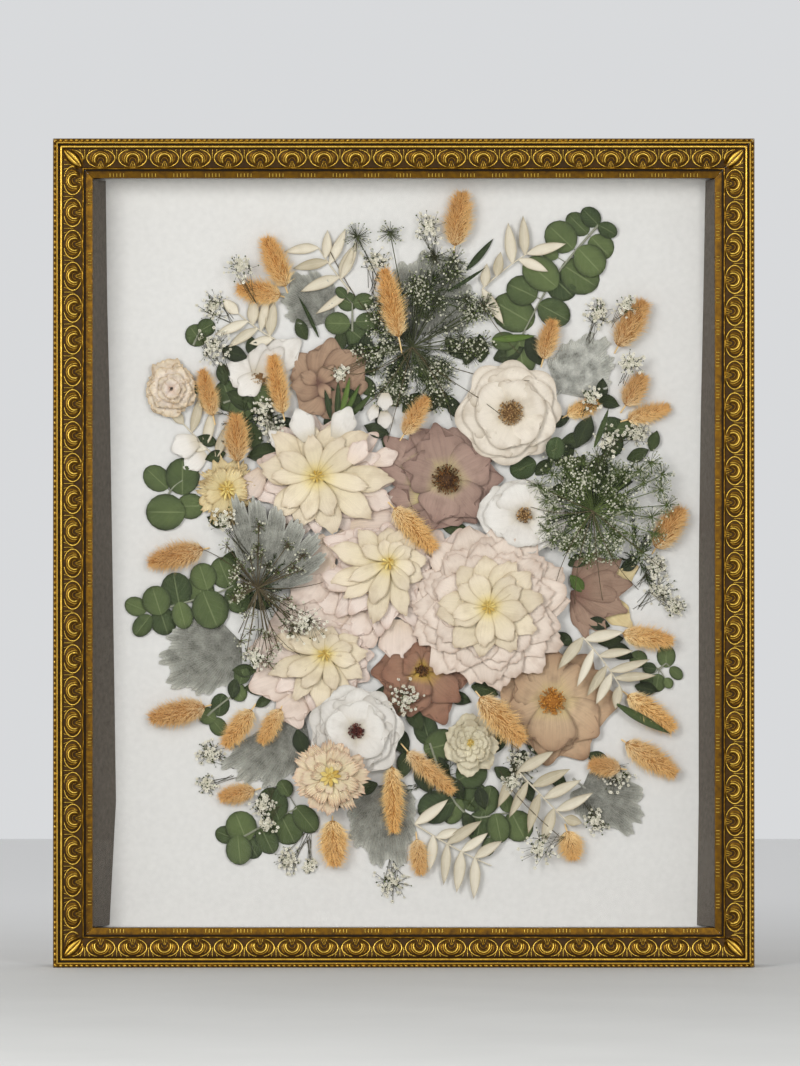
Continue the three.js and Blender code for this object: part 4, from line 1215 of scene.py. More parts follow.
def lace_umbel(node, at, heads, reach, materials, florets, rays, spread):
    """Rays fan out from one point and carry small heads of open florets and green buds"""
    rng = seeded(node)
    sheaf = Sheaf()
    low, high = node_levels(node)
    middle = place(*at)
    hub = np.array([*middle, low + 0.6 * (high - low)])
    ends = [place(*head) for head in heads]
    sizes = [spread] * len(ends)
    for _ in range(rays):
        heading = rng.uniform(0, TURN)
        ends.append(middle + reach_at(reach, heading) * rng.uniform(0.35, 1.0) * towards(heading))
        sizes.append(spread * rng.uniform(0.6, 1.0))
    for end, size in zip(ends, sizes):
        level = rng.uniform(low + 0.3 * (high - low), high - 1.2)
        knee = np.array([*(middle + (end - middle) * 0.55), level + rng.uniform(0.2, 1.2)])
        head = np.array([*end, level])
        sticks(sheaf, [hub, knee], [knee, head], RAY, rng.uniform(0.1, 0.6), look=1)
        count = max(6, int(florets * size / spread))
        heading = rng.uniform(0, TURN, count)
        out = size * PX * np.sqrt(rng.uniform(0, 1, count))
        tops = spots_round(end, out, heading, level + 1.4 * rng.uniform(-0.6, 1, count))
        tops[:, 2] = np.clip(tops[:, 2], 1.0, high + 0.5)
        sticks(sheaf, np.tile(head - [0, 0, 0.8], (count, 1)), tops, FLORET_THREAD, 0.3, look=1)
        is_open = rng.uniform(0, 1, count) < OPEN_IN_UMBEL
        stars, buds = tops[is_open], tops[~is_open]
        scatter(sheaf, rng, STAR, stars, rng.uniform(0.6, 1.05, len(stars)), 0.5,
                rng.uniform(0.2, 1, len(stars)), 0)
        scatter(sheaf, rng, BUD, buds, rng.uniform(0.4, 0.8, len(buds)), 1.0, rng.uniform(0, 1, len(buds)), 2)
    scatter(sheaf, rng, BUD, [hub], 1.3, 0.1, 0.6, 2, flat=0.5)
    add_piece(node + "_florets", sheaf, materials, "umbel", node)


SPRIG_BUDS = 140
SPRIG_FORKS = 7
OPEN_IN_SPRIG = 0.64


def sprig(name, at, size, root, materials):
    """A clump of tiny dry flowers on forked threads that spread from a root pixel"""
    rng = seeded(name)
    sheaf = Sheaf()
    middle, foot = place(*at), place(*root)
    base = pile.top(np.linspace(foot, middle, 7)) + 0.6
    heading = rng.uniform(0, TURN, SPRIG_BUDS)
    out = size * PX * np.minimum(np.abs(rng.normal(0, 0.52, SPRIG_BUDS)), 1.05)
    away = (middle - foot) / max(math.hypot(*(middle - foot)), 1)
    tops = spots_round(middle, out, heading, base + rng.uniform(0, 2.6, SPRIG_BUDS))
    forks = spots_round(middle, 0.45 * size * PX, rng.uniform(0, TURN, SPRIG_FORKS), base + 0.6)
    forks[:, :2] -= away * size * PX * 0.3
    starts = np.array([*foot, base]) + rng.normal(0, 1, (SPRIG_FORKS, 3)) * [2.2, 2.2, 0.2]
    sticks(sheaf, starts, forks, SPRIG_STEM, 0.3, look=1)
    gaps = tops[:, None, :2] - forks[None, :, :2]
    nearest = np.argmin(np.hypot(gaps[..., 0], gaps[..., 1]), axis=1)
    sticks(sheaf, forks[nearest], tops, FINE_THREAD, 0.3, look=1)
    is_open = rng.uniform(0, 1, SPRIG_BUDS) < OPEN_IN_SPRIG
    stars, buds = tops[is_open], tops[~is_open]
    scatter(sheaf, rng, STAR, stars, rng.uniform(1.0, 1.75, len(stars)), 0.5,
            rng.uniform(0.4, 1, len(stars)), 0)
    scatter(sheaf, rng, BUD, buds, rng.uniform(0.5, 0.9, len(buds)), 1.0, 0.2, 2)
    add_piece(name, sheaf, materials, "umbel")


def feathery(name, at, reach, fronds, levels, material):
    """Fine dry foliage: thin fronds from one pixel, each with short side threads"""
    rng = seeded(name)
    sheaf = Sheaf()
    middle = place(*at)
    for _ in range(fronds):
        heading = rng.uniform(0, TURN)
        out = reach_at(reach, heading) * rng.uniform(0.45, 1.0)
        start = np.array([*middle, rng.uniform(*levels)])
        away = out * np.array([*towards(heading), 0])
        sticks(sheaf, [start], [start + away], FROND, rng.uniform(0, 1))
        count = int(out / 1.5)
        share = rng.uniform(0.15, 1, count)
        turn = heading + rng.choice([-1, 1], count) * rng.uniform(0.3, 1.0, count)
        length = rng.uniform(3, 9, count) * (1.25 - share)
        roots = start + away * share[:, None]
        tips = roots + spots_round((0, 0), length, turn, rng.uniform(-0.5, 1.2, count))
        tips[:, 2] = np.maximum(tips[:, 2], 0.4)
        sticks(sheaf, roots, tips, FROND_THREAD, rng.uniform(0, 1))
    add_piece(name, sheaf, [material], "umbel")


# The bouquet, laid up from the board

# Each lobed leaf's foot, the tips of its lobes and the end of its stalk, in pixels
FANS = {
    "dusty_miller_top": ((430, 332), [
        (402, 338), (393, 300), (395, 262), (428, 246), (456, 254), (474, 290), (466, 330)], (430, 352)),
    "dusty_miller_right": ((560, 392), [
        (548, 362), (569, 340), (592, 330), (610, 336), (617, 360), (612, 385), (585, 397)], (552, 402)),
    "dusty_miller_left": ((240, 643), [
        (222, 624), (190, 618), (166, 634), (156, 660), (166, 688), (200, 697), (232, 684),
        (241, 660)], (250, 640)),
    "dusty_miller_low_left": ((304, 718), [
        (290, 714), (258, 732), (230, 748), (217, 768), (238, 786), (267, 791), (301, 772),
        (308, 740)], (314, 708)),
    "dusty_miller_low": ((386, 786), [
        (362, 790), (347, 812), (351, 846), (376, 870), (404, 870), (414, 842), (416, 808),
        (400, 782)], (386, 776)),
    "dusty_miller_low_right": ((584, 788), [
        (590, 774), (628, 772), (646, 794), (645, 822), (634, 839), (606, 828), (580, 818),
        (572, 794)], (574, 780)),
}


def add_dusty_miller(felt, pale_felt):
    for name, (foot, tips, petiole) in FANS.items():
        look = pale_felt if name == "dusty_miller_right" else felt
        fan_leaf(name + "_leaf", foot, tips, node_levels(name), look, petiole, name)
    fan_leaf("dusty_miller_top_left", (334, 318), [(310, 326), (286, 318), (280, 296), (290, 270), (312, 268),
                                                   (334, 282)], (0.8, 2.4), felt)


# Each spray's stem, then its leaves as [x, y, radius], in pixels
SPRAYS = {
    "eucalyptus_top_right": ([(600, 223), (574, 251), (562, 269), (545, 291), (536, 309), (520, 340)], [
        (579, 222, 12), (592, 215, 10), (609, 228, 9), (602, 245, 12), (562, 235, 15), (591, 259, 15),
        (581, 274, 18), (551, 251, 8), (542, 272, 18), (563, 284, 14), (523, 289, 14), (555, 311, 15),
        (514, 311, 20), (522, 354, 18), (505, 340, 11)]),
    "eucalyptus_left": ([(168, 512), (167, 494), (181, 480)], [
        (155, 478, 13), (181, 476, 16), (164, 512, 17), (189, 506, 12)]),
    "eucalyptus_mid_left": ([(150, 614), (168, 607), (190, 602), (215, 593), (232, 586)], [
        (134, 607, 10), (141, 626, 11), (155, 601, 13), (162, 622, 12), (175, 590, 15), (181, 616, 12),
        (199, 591, 15), (202, 577, 12), (209, 610, 17), (223, 573, 14), (237, 599, 13)]),
    "eucalyptus_low_left": ([(237, 842), (262, 828), (296, 810)], [
        (224, 837, 9), (240, 829, 14), (238, 852, 13), (251, 850, 10), (266, 842, 13), (272, 806, 15),
        (287, 831, 14), (305, 821, 14), (284, 790, 8)]),
    "eucalyptus_low": ([(430, 744), (454, 804), (475, 816), (495, 819), (513, 816)], [
        (426, 731, 14), (442, 747, 16), (472, 775, 14), (475, 799, 13), (489, 802, 13), (436, 809, 16),
        (454, 813, 12), (480, 828, 14), (499, 830, 13), (519, 828, 14), (507, 804, 9), (489, 849, 8)]),
    "eucalyptus_top": ([(352, 330), (352, 318), (352, 302)], [
        (347, 300, 9), (363, 300, 9), (337, 322, 11), (357, 334, 12), (368, 320, 11), (341, 291, 6)]),
}
LOOSE_SPRAYS = {
    "eucalyptus_low_middle": ([(206, 717), (219, 706), (237, 693)], [
        (219, 706, 10), (237, 693, 9), (241, 676, 8), (217, 728, 9), (206, 717, 8)]),
    "eucalyptus_right": ([(661, 670), (668, 664)], [
        (668, 657, 10), (678, 674, 7), (670, 684, 5), (659, 684, 8), (648, 681, 6), (651, 669, 6),
        (640, 660, 8)]),
    "eucalyptus_upper_left": ([(192, 344), (198, 330)], [(195, 334, 10), (205, 326, 8)]),
    "eucalyptus_behind_tails": ([(222, 402), (260, 390)], [(227, 395, 14), (258, 397, 14), (240, 410, 12)]),
    "eucalyptus_upper_right": ([(614, 450), (620, 428)], [(616, 428, 13), (629, 428, 9), (614, 446, 11)]),
}


def add_green(sage):
    stem = leaf_material("grey_stem", (96, 104, 84), (150, 156, 134), (160, 160, 140), (110, 110, 96))
    for name, (along, leaves) in SPRAYS.items():
        round_leaves(name + "_spray", along, leaves, node_levels(name), [sage, stem], name)
    for name, (along, leaves) in LOOSE_SPRAYS.items():
        base = pile.top(np.array([place(px, py) for px, py, _ in leaves]), 0.6) + 0.4
        round_leaves(name, along, leaves, (base, base + 1.8), [sage, stem])


RUSCUS = {
    "ruscus_top": ([(349, 288), (333, 268), (318, 246)], [
        (303, 246), (327, 244), (337, 247), (345, 262), (352, 256), (320, 281), (330, 305), (312, 262)]),
    "ruscus_mid_left": ([(217, 460), (192, 434), (170, 410)], [
        (167, 396), (181, 397), (176, 416), (196, 414), (208, 428), (220, 441), (196, 446)]),
    "ruscus_top_right": ([(483, 287), (505, 268), (528, 252)], [
        (511, 243), (525, 236), (545, 247), (533, 262), (499, 264), (486, 275), (493, 305)]),
    "ruscus_low": ([(415, 826), (455, 850), (492, 868)], [
        (431, 816), (447, 836), (464, 834), (474, 846), (487, 852), (433, 853), (446, 866), (460, 874),
        (476, 878)]),
    "ruscus_right": ([(584, 638), (606, 664), (624, 692)], [
        (603, 636), (573, 652), (588, 667), (615, 653), (599, 680), (632, 668), (606, 688), (636, 677),
        (618, 697)]),
    "ruscus_low_right": ([(519, 773), (545, 800), (567, 822)], [
        (548, 757), (556, 777), (567, 788), (574, 806), (504, 794), (533, 815), (549, 826), (573, 822),
        (520, 800)]),
}


def add_ruscus(bleached, names):
    for name in names:
        along, leaves = RUSCUS[name]
        pointed_leaves(name + "_sprig", along, leaves, node_levels(name), [bleached], name)


# Each tail's base and tip, its width and the far end of its stalk, in pixels
NODE_TAILS = {
    "bunny_tail_top": ((455, 244), (463, 190), 29, (454, 252)),
    "bunny_tail_upper_right": ((619, 345), (646, 300), 29, (616, 352)),
    "bunny_tail_right": ((657, 548), (684, 509), 28, (654, 554)),
    "bunny_tail_lower_right": ((629, 696), (676, 731), 25, (624, 692)),
    "bunny_tail_low_right": ((627, 744), (678, 776), 27, (623, 741)),
    "bunny_tail_left": ((202, 549), (147, 563), 27, (208, 548)),
    "bunny_tail_low_left": ((204, 708), (148, 720), 27, (210, 706)),
    "bunny_tail_low": ((332, 822), (334, 867), 30, (332, 818)),
    "bunny_tail_middle": ((480, 698), (524, 743), 32, (476, 692)),
}
UNDER_TAILS = [
    ((285, 285), (265, 236), 26, (287, 292)), ((280, 294), (237, 287), 25, (286, 296)),
    ((212, 415), (201, 369), 18, (214, 424)), ((627, 405), (645, 375), 22, (622, 412)),
    ((629, 419), (671, 407), 17, (622, 421)), ((568, 414), (599, 402), 15, (562, 418)),
    ((568, 833), (575, 860), 23, (566, 826)), ((254, 792), (219, 799), 18, (260, 790)),
    ((417, 841), (421, 876), 17, (416, 834)), ((251, 711), (224, 747), 22, (255, 705)),
    ((280, 710), (260, 744), 17, (283, 704)), ((394, 508), (435, 550), 25, (388, 502)),
]
OVER_TAILS = [
    ((282, 413), (272, 354), 20, (284, 420)), ((237, 461), (235, 414), 25, (238, 468)),
    ((399, 336), (384, 267), 25, (402, 352)), ((544, 358), (554, 319), 19, (542, 366)),
    ((624, 634), (674, 642), 22, (618, 633)), ((622, 770), (591, 766), 18, (628, 771)),
    ((407, 753), (454, 794), 19, (401, 745)), ((392, 768), (394, 835), 22, (391, 760)),
    ((404, 434), (427, 397), 18, (400, 440)),
]
# Each sprig's middle, its size and where it grows from, in pixels
SPRIGS = [
    ((240, 265), 17, (254, 300)), ((212, 305), 16, (232, 318)), ((211, 345), 19, (226, 372)),
    ((427, 226), 18, (436, 262)), ((375, 260), 16, (372, 290)), ((600, 312), 15, (590, 338)),
    ((627, 304), 12, (612, 322)), ((632, 362), 14, (622, 384)), ((592, 398), 12, (584, 414)),
    ((640, 432), 13, (620, 440)), ((658, 566), 13, (640, 584)), ((662, 590), 16, (640, 606)),
    ((405, 700), 20, (392, 720)), ((209, 755), 14, (232, 768)), ((206, 786), 11, (232, 780)),
    ((262, 806), 13, (272, 790)), ((266, 826), 11, (276, 808)), ((288, 862), 14, (308, 836)),
    ((309, 868), 7, (308, 840)), ((392, 884), 19, (392, 858)), ((540, 850), 20, (566, 838)),
    ((522, 765), 17, (512, 742)), ((512, 784), 10, (516, 764)), ((620, 778), 17, (606, 758)),
    ((598, 824), 13, (590, 806)), ((270, 428), 14, (262, 402)), ((262, 408), 12, (270, 430)),
    ((304, 625), 22, (268, 594)), ((676, 608), 11, (660, 600)), ((254, 660), 12, (262, 630)),
    ((222, 520), 14, (246, 560)), ((610, 440), 16, (596, 470)), ((340, 372), 9, (366, 360)),
]


def add_bouquet():
    felt = felt_material("silver_felt", (90, 90, 80), (158, 158, 147))
    pale_felt = felt_material("pale_felt", (116, 116, 107), (222, 222, 212))
    sage = leaf_material("sage_leaf", (40, 54, 27), (92, 106, 62), (136, 146, 104), (20, 28, 12))
    bleached = leaf_material("bleached_leaf", (184, 173, 146), (227, 219, 199), (236, 229, 210),
                             (146, 130, 98), 4, 0.3)
    hair = tail_material()
    looks = flower_looks()
    add_dusty_miller(felt, pale_felt)
    add_green(sage)
    add_ruscus(bleached, ["ruscus_top", "ruscus_mid_left", "ruscus_top_right", "ruscus_low"])
    pointed_leaves("ruscus_left_sprig", [(274, 338), (255, 326), (237, 312)], [
        (230, 306), (270, 319), (262, 313), (252, 311), (243, 334), (232, 326), (262, 340)],
        (1.2, 3.6), [bleached])
    add_underlay()
    *first_tails, top_tail = NODE_TAILS
    for name in first_tails:
        bunny_tail(name + "_head", *NODE_TAILS[name], hair, node_levels(name)[0], name)
    for i, tail in enumerate(UNDER_TAILS[:-1]):
        bunny_tail(f"bunny_tail_loose_{i + 1:02d}", *tail, hair)
    add_flowers(looks)
    bunny_tail("bunny_tail_loose_12", *UNDER_TAILS[-1], hair, node_levels("mauve_anemone")[1] - 3)
    fan_leaf("dusty_miller_middle_leaf", (264, 596), [
        (238, 572), (232, 534), (231, 493), (255, 497), (278, 507), (300, 520), (320, 536), (327, 556),
        (310, 582)], node_levels("dusty_miller_middle"), felt, (262, 606), "dusty_miller_middle",
        notch=0.16, teeth=4, pleat=0.7)
    add_ruscus(bleached, ["ruscus_right", "ruscus_low_right"])
    add_umbels()
    add_loose_petals(looks)
    bunny_tail(top_tail + "_head", *NODE_TAILS[top_tail], hair, node_levels(top_tail)[0], top_tail)
    for i, tail in enumerate(OVER_TAILS):
        bunny_tail(f"bunny_tail_loose_{i + len(UNDER_TAILS) + 1:02d}", *tail, hair)


BOUQUET_MIDDLE = (420, 560)
OVAL_LEAF = {"fullest": 0.45, "stub": 0.15, "end": 0.12, "round_off": 0.05, "keel": -0.6, "crumple": 0.3,
             "rows": 9, "cols": 7}
# Dark leaves pressed under the flowers, as [x, y, radius] in pixels. Their near-black green is partly the
# leaves' own colour and partly painted shade in the gaps between flowers
DEEP_LEAVES = [
    (240, 400, 14), (262, 405, 14), (250, 432, 16), (262, 452, 14), (284, 424, 12), (206, 402, 10),
    (190, 388, 8), (400, 382, 12), (412, 402, 11), (382, 420, 10), (482, 347, 12), (510, 352, 14),
    (535, 348, 14), (560, 452, 12), (585, 430, 14), (378, 352, 10), (366, 366, 10), (575, 470, 16),
    (600, 472, 16), (620, 482, 12), (560, 492, 12), (590, 500, 14), (615, 502, 12), (580, 522, 10),
    (580, 560, 10), (585, 580, 10), (570, 545, 9), (622, 652, 12), (640, 640, 10), (648, 690, 10),
    (243, 672, 10), (255, 690, 10), (262, 702, 8), (400, 742, 14), (415, 720, 12), (404, 765, 12),
    (425, 780, 14), (440, 768, 12), (455, 790, 12), (300, 745, 12), (520, 765, 12), (505, 776, 10),
    (500, 745, 10), (535, 745, 10), (600, 760, 10), (350, 398, 14), (366, 384, 12), (330, 420, 10),
    (300, 690, 12), (380, 700, 12), (470, 440, 10), (432, 400, 12), (340, 340, 10), (366, 346, 12),
    (300, 328, 10), (232, 352, 12), (222, 372, 10), (250, 345, 9), (232, 560, 12), (250, 575, 12),
    (240, 590, 12), (262, 604, 10), (486, 690, 12), (460, 700, 10), (610, 400, 10), (632, 565, 9),
    (215, 522, 9), (226, 508, 9), (330, 765, 11), (346, 800, 11), (365, 790, 11), (482, 800, 10),
    (470, 825, 10), (530, 792, 10), (560, 782, 10), (376, 430, 11), (390, 446, 10), (398, 470, 12),
    (404, 492, 11), (456, 528, 11), (470, 540, 10), (286, 694, 11), (350, 350, 9), (560, 420, 9),
    (455, 346, 12), (470, 350, 12), (440, 396, 12), (454, 406, 10), (576, 440, 12), (566, 456, 11),
    (640, 455, 10), (545, 466, 10), (655, 440, 9), (604, 388, 9), (426, 372, 12), (392, 396, 10),
    (206, 440, 9), (214, 456, 9), (232, 690, 9), (612, 640, 11), (600, 624, 10), (566, 640, 9),
    (452, 690, 11), (440, 712, 10), (330, 395, 10),
]
# Broad pale petals pressed under the dahlias, each from foot to tip in pixels with its width
BROAD_PETALS = [
    ((352, 520), (398, 500), 40), ((350, 530), (410, 530), 40), ((330, 540), (300, 575), 44),
    ((330, 560), (292, 604), 44), ((350, 600), (300, 630), 44), ((372, 610), (346, 652), 44),
    ((398, 620), (398, 664), 40), ((330, 600), (268, 628), 40), ((300, 650), (252, 646), 44),
    ((300, 670), (248, 690), 44), ((310, 690), (276, 716), 40), ((330, 690), (330, 716), 40),
    ((420, 580), (440, 530), 40), ((430, 600), (412, 640), 36), ((340, 530), (366, 560), 36),
    ((290, 520), (262, 548), 30), ((440, 590), (462, 528), 34), ((450, 600), (482, 536), 34),
    ((284, 690), (300, 730), 30), ((262, 470), (240, 500), 26),
]


def add_underlay():
    rng = seeded("underlay")
    # Near-black green: dark foliage, and also painted shade in the gaps between the flowers
    deep = leaf_material("deep_leaf", (26, 34, 16), (54, 66, 30), (80, 88, 52), (18, 22, 10))
    sheaf = Sheaf()
    for px, py, radius in DEEP_LEAVES:
        away = place(px, py) - place(*BOUQUET_MIDDLE)
        heading = math.atan2(away[1], away[0]) + rng.uniform(-1.0, 1.0)
        size = radius * PX
        foot = place(px, py) - 1.2 * size * towards(heading)
        w = rng.uniform(0.8, 2.6)
        petal(sheaf, rng, foot, heading, 2.4 * size, 1.4 * size, w, w + 0.5, tilt=rng.uniform(-0.8, 0.8),
              bend=rng.uniform(-0.12, 0.12), **OVAL_LEAF)
    add_piece("deep_leaves_and_gap_shade", sheaf, [deep], "green_leaf")
    pale = petal_material("under_petal", (226, 206, 182), (230, 212, 196), (234, 218, 206), (170, 138, 116))
    sheaf = Sheaf()
    for start, end, width in BROAD_PETALS:
        w = rng.uniform(3.0, 4.2)
        petal_between(sheaf, rng, start, end, width, w, w + 0.4, **ROUND)
    add_piece("under_petals", sheaf, [pale], "blush_petal")


# Where the three umbels spread from, in pixels
UMBEL_TOP, UMBEL_RIGHT, UMBEL_LEFT = (412, 346), (594, 511), (257, 588)
FINE_STEMS = [
    [UMBEL_TOP, (446, 376), (486, 402), (516, 432)], [UMBEL_TOP, (440, 384), (452, 420)],
    [UMBEL_TOP, (380, 392), (350, 412)], [UMBEL_TOP, (366, 372), (322, 366)],
    [UMBEL_TOP, (398, 400), (386, 446)], [UMBEL_TOP, (470, 372), (530, 380)],
    [UMBEL_RIGHT, (560, 496), (524, 478)], [UMBEL_RIGHT, (552, 512), (516, 500)],
    [UMBEL_RIGHT, (570, 548), (556, 586)], [UMBEL_RIGHT, (612, 556), (640, 590)],
    [UMBEL_RIGHT, (598, 560), (604, 602)], [UMBEL_RIGHT, (636, 546), (668, 572)],
    [UMBEL_RIGHT, (580, 560), (576, 604)], [UMBEL_LEFT, (284, 612), (318, 622)],
    [UMBEL_LEFT, (272, 630), (300, 656)], [UMBEL_LEFT, (240, 628), (222, 660)],
    [UMBEL_LEFT, (258, 640), (262, 676)], [UMBEL_LEFT, (296, 588), (330, 580)],
    [UMBEL_LEFT, (222, 560), (196, 548)], [(262, 402), (250, 430), (234, 452)],
    [(372, 290), (392, 330), (412, 372)], [(330, 250), (352, 290), (372, 316)],
    [(480, 300), (500, 330), (520, 352)], [(560, 838), (520, 800), (500, 772)],
]


def add_fine_stems(material):
    """Thin dry stems that cross over the flowers, each through its pixels"""
    sheaf = Sheaf()
    for line in FINE_STEMS:
        spots = [place(*spot) for spot in line]
        points = [[*spot, pile.top(np.array([spot]), 0.95) + 0.6] for spot in spots]
        tube(sheaf, curve_through(points, 6), DRY_STEM, sides=5, tone=0.3)
    add_piece("fine_stems", sheaf, [material], "umbel")


# The heads of the umbels, given one by one, in pixels
TOP_HEADS = [
    (390, 231), (357, 235), (435, 256), (455, 258), (449, 274), (485, 305), (457, 272), (484, 306),
    (462, 336), (438, 302), (384, 322), (394, 374), (430, 384), (420, 290), (470, 352), (482, 342),
    (446, 372), (400, 390),
]
RIGHT_HEADS = [
    (652, 462), (662, 489), (653, 517), (645, 482), (631, 510), (633, 535), (614, 468), (582, 462),
    (554, 474), (548, 500), (566, 470), (598, 458), (606, 484), (560, 490), (576, 486), (572, 548),
    (590, 556), (548, 530), (664, 474), (668, 505), (640, 470), (655, 534), (642, 552), (556, 452),
    (540, 486),
]
LEFT_HEADS = [
    (258, 526), (287, 545), (302, 556), (226, 546), (269, 637), (246, 654), (300, 628), (268, 664),
    (286, 618), (238, 566),
]
# Each blade's two ends and width in pixels
BLADES = {
    "blade_top": ((467, 268), (496, 238), 7), "blade_top_low": ((448, 290), (488, 268), 4),
    "blade_upper_middle": ((493, 338), (537, 337), 8), "blade_upper_right": ((595, 447), (612, 408), 6),
    "blade_lower_right": ((618, 705), (670, 738), 9), "blade_small_right": ((584, 592), (572, 574), 13),
    "blade_left_of_leaves": ((318, 336), (300, 293), 4), "fern_blade_1": ((336, 418), (340, 380), 6),
    "fern_blade_2": ((340, 420), (362, 384), 6), "fern_blade_3": ((344, 420), (376, 392), 6),
    "fern_blade_4": ((340, 414), (352, 376), 6), "fern_blade_5": ((330, 418), (326, 388), 6),
}
BRIGHT_BLADES = ("blade_upper_middle", "blade_small_right", "fern_blade_2", "fern_blade_4")
SINGLE_LEAVES = ((524, 467, 12), (302, 426, 9), (556, 448, 10))


def add_foliage():
    fern = mottled_material("fine_foliage", (22, 28, 12), (60, 72, 34), 300)
    top, right, left = (node_levels("lace_umbel_" + side)[0] for side in ("top", "right", "left"))
    feathery("foliage_top", UMBEL_TOP, (66, 70, 60, 60), 30, (top, top + 1.5), fern)
    feathery("foliage_upper", (424, 292), (46, 50, 40, 40), 16, (top, top + 1.5), fern)
    feathery("foliage_right", (594, 508), (56, 70, 66, 50), 26, (right, right + 1.5), fern)
    feathery("foliage_far_right", (640, 560), (30, 30, 60, 50), 12, (1.0, 2.5), fern)
    feathery("foliage_left", UMBEL_LEFT, (34, 40, 40, 40), 10, (left, left + 1.0), fern)
    feathery("foliage_upper_left", (245, 420), (40, 40, 40, 40), 14, (2.0, 4.0), fern)
    feathery("foliage_low", (440, 780), (50, 60, 40, 40), 14, (1.0, 3.0), fern)


def add_umbels():
    lace = mottled_material("lace_floret", (96, 104, 62), (240, 237, 216), 600)
    ray = mottled_material("lace_ray", (44, 50, 30), (92, 96, 66), 300)
    green_ray = mottled_material("green_ray", (46, 60, 26), (120, 134, 76), 300)
    brown_ray = mottled_material("dry_ray", (62, 54, 36), (116, 104, 76), 300)
    bud = mottled_material("lace_bud", (46, 60, 22), (108, 124, 60), 600)
    add_foliage()
    lace_umbel("lace_umbel_top", UMBEL_TOP, TOP_HEADS, (54, 80, 74, 68), [lace, ray, bud], 54, 44, 15)
    lace_umbel("lace_umbel_right", UMBEL_RIGHT, RIGHT_HEADS, (58, 52, 60, 46), [lace, green_ray, bud],
               52, 40, 13)
    lace_umbel("lace_umbel_left", UMBEL_LEFT, LEFT_HEADS, (28, 46, 62, 74), [lace, brown_ray, bud], 24, 34, 8)
    add_fine_stems(brown_ray)
    flower_white = mottled_material("sprig_flower", (172, 166, 134), (242, 238, 222), 600)
    thread = mottled_material("sprig_thread", (46, 44, 26), (92, 88, 60), 400)
    for i, (at, size, root) in enumerate(SPRIGS):
        sprig(f"baby_breath_{i + 1:02d}", at, size, root, [flower_white, thread, bud])
    bright = leaf_material("bright_blade", (56, 76, 26), (92, 114, 48), (124, 140, 80), (44, 58, 22), 1, 0.3)
    deep = leaf_material("deep_blade", (34, 46, 20), (62, 76, 36), (96, 106, 62), (26, 34, 16), 1, 0.3)
    for name, (start, end, width) in BLADES.items():
        blade(name, start, end, width, bright if name in BRIGHT_BLADES else deep)
    sage = leaf_material("single_leaf", (42, 56, 26), (74, 90, 48), (110, 120, 80), (26, 36, 16))
    for i, (px, py, radius) in enumerate(SINGLE_LEAVES):
        base = pile.top(np.array([place(px, py)]), 0.9) + 0.4
        round_leaves(f"single_leaf_{i + 1}", [(px - 4, py + 3), (px + 2, py)], [(px, py, radius)],
                     (base, base + 1), [sage, sage])


# Each group's look and slot, and its petals from foot to tip in pixels with their widths
LOOSE_PETALS = {
    "white_bells": ("white", "ivory_petal", [
        ((385, 392), (385, 410), 16), ((384, 410), (386, 428), 16), ((376, 404), (370, 420), 12)]),
    "faint_petals": ("white", "ivory_petal", [((196, 440), (170, 450), 26), ((204, 452), (182, 468), 22)]),
    "upper_white_petals": ("white", "ivory_petal", [
        ((308, 440), (296, 408), 26), ((336, 438), (350, 406), 26), ((292, 452), (268, 430), 18)]),
    "mauve_under_petals": ("mauve", "mauve_petal", [
        ((420, 470), (384, 436), 28), ((424, 480), (378, 462), 28), ((420, 496), (386, 496), 26)]),
    "right_pink_petals": ("pale_pink", "blush_petal", [
        ((352, 476), (378, 470), 24), ((362, 492), (392, 506), 24), ((350, 462), (366, 440), 20),
        ((372, 462), (398, 452), 20)]),
    "lower_pink_petals": ("pale_pink", "blush_petal", [
        ((352, 586), (322, 574), 26), ((346, 608), (316, 600), 24), ((372, 612), (352, 636), 24)]),
}


def add_loose_petals(looks):
    rng = seeded("loose_petals")
    for name, (key, slot, petals) in LOOSE_PETALS.items():
        sheaf = Sheaf()
        for start, end, width in petals:
            w = pile.top(np.linspace(place(*start), place(*end), 6), 0.7) + 0.5
            petal_between(sheaf, rng, start, end, width, w, w + 0.6, **ROUND)
        add_piece(name, sheaf, [looks[key]], slot)


# The frame's own pieces

def dress(node, material):
    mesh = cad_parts[node].data
    mesh.materials.clear()
    mesh.materials.append(material)


def add_frame_pieces():
    wood = sheet_material("bare_wood", (166, 132, 90), (204, 172, 128), 40, 0.7, 0.4)
    add_rails([gilt_material(), wood])
    # The side liners take dark grey-brown card, painted shade on the walls that face sideways; the top and
    # bottom liners keep the white card
    painted_shade_card = sheet_material("liner_card", (88, 82, 74), (106, 99, 90), 260, 0.9, 0.3)
    white_card = sheet_material("white_liner", (206, 204, 202), (218, 216, 214), 260, 0.9, 0.3)
    for side, liner in (("left", painted_shade_card), ("right", painted_shade_card), ("top", white_card), ("bottom", white_card)):
        dress("liner_" + side, liner)
    dress("backing_board", sheet_material("white_board", (218, 217, 213), (224, 223, 219), 220, 0.92, 0.1))
    dress("rear_cover", sheet_material("hardboard", (96, 68, 44), (140, 106, 72), 420, 0.8, 0.5))
    dress("glass_pane", glass_material())
    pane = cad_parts["glass_pane"]
    pane.visible_shadow = False
    pane.visible_diffuse = False
    steel = steel_material()
    dress("sawtooth_hanger", steel)
    add_tabs(steel)
    add_pins(steel)


# Flat steel tabs pressed into the rabbet hold the rear cover
TAB = {"length": 16.0, "width": 8.0, "thickness": 0.6, "lift": 0.55}
TABS_ACROSS = 3
TABS_UP = 4


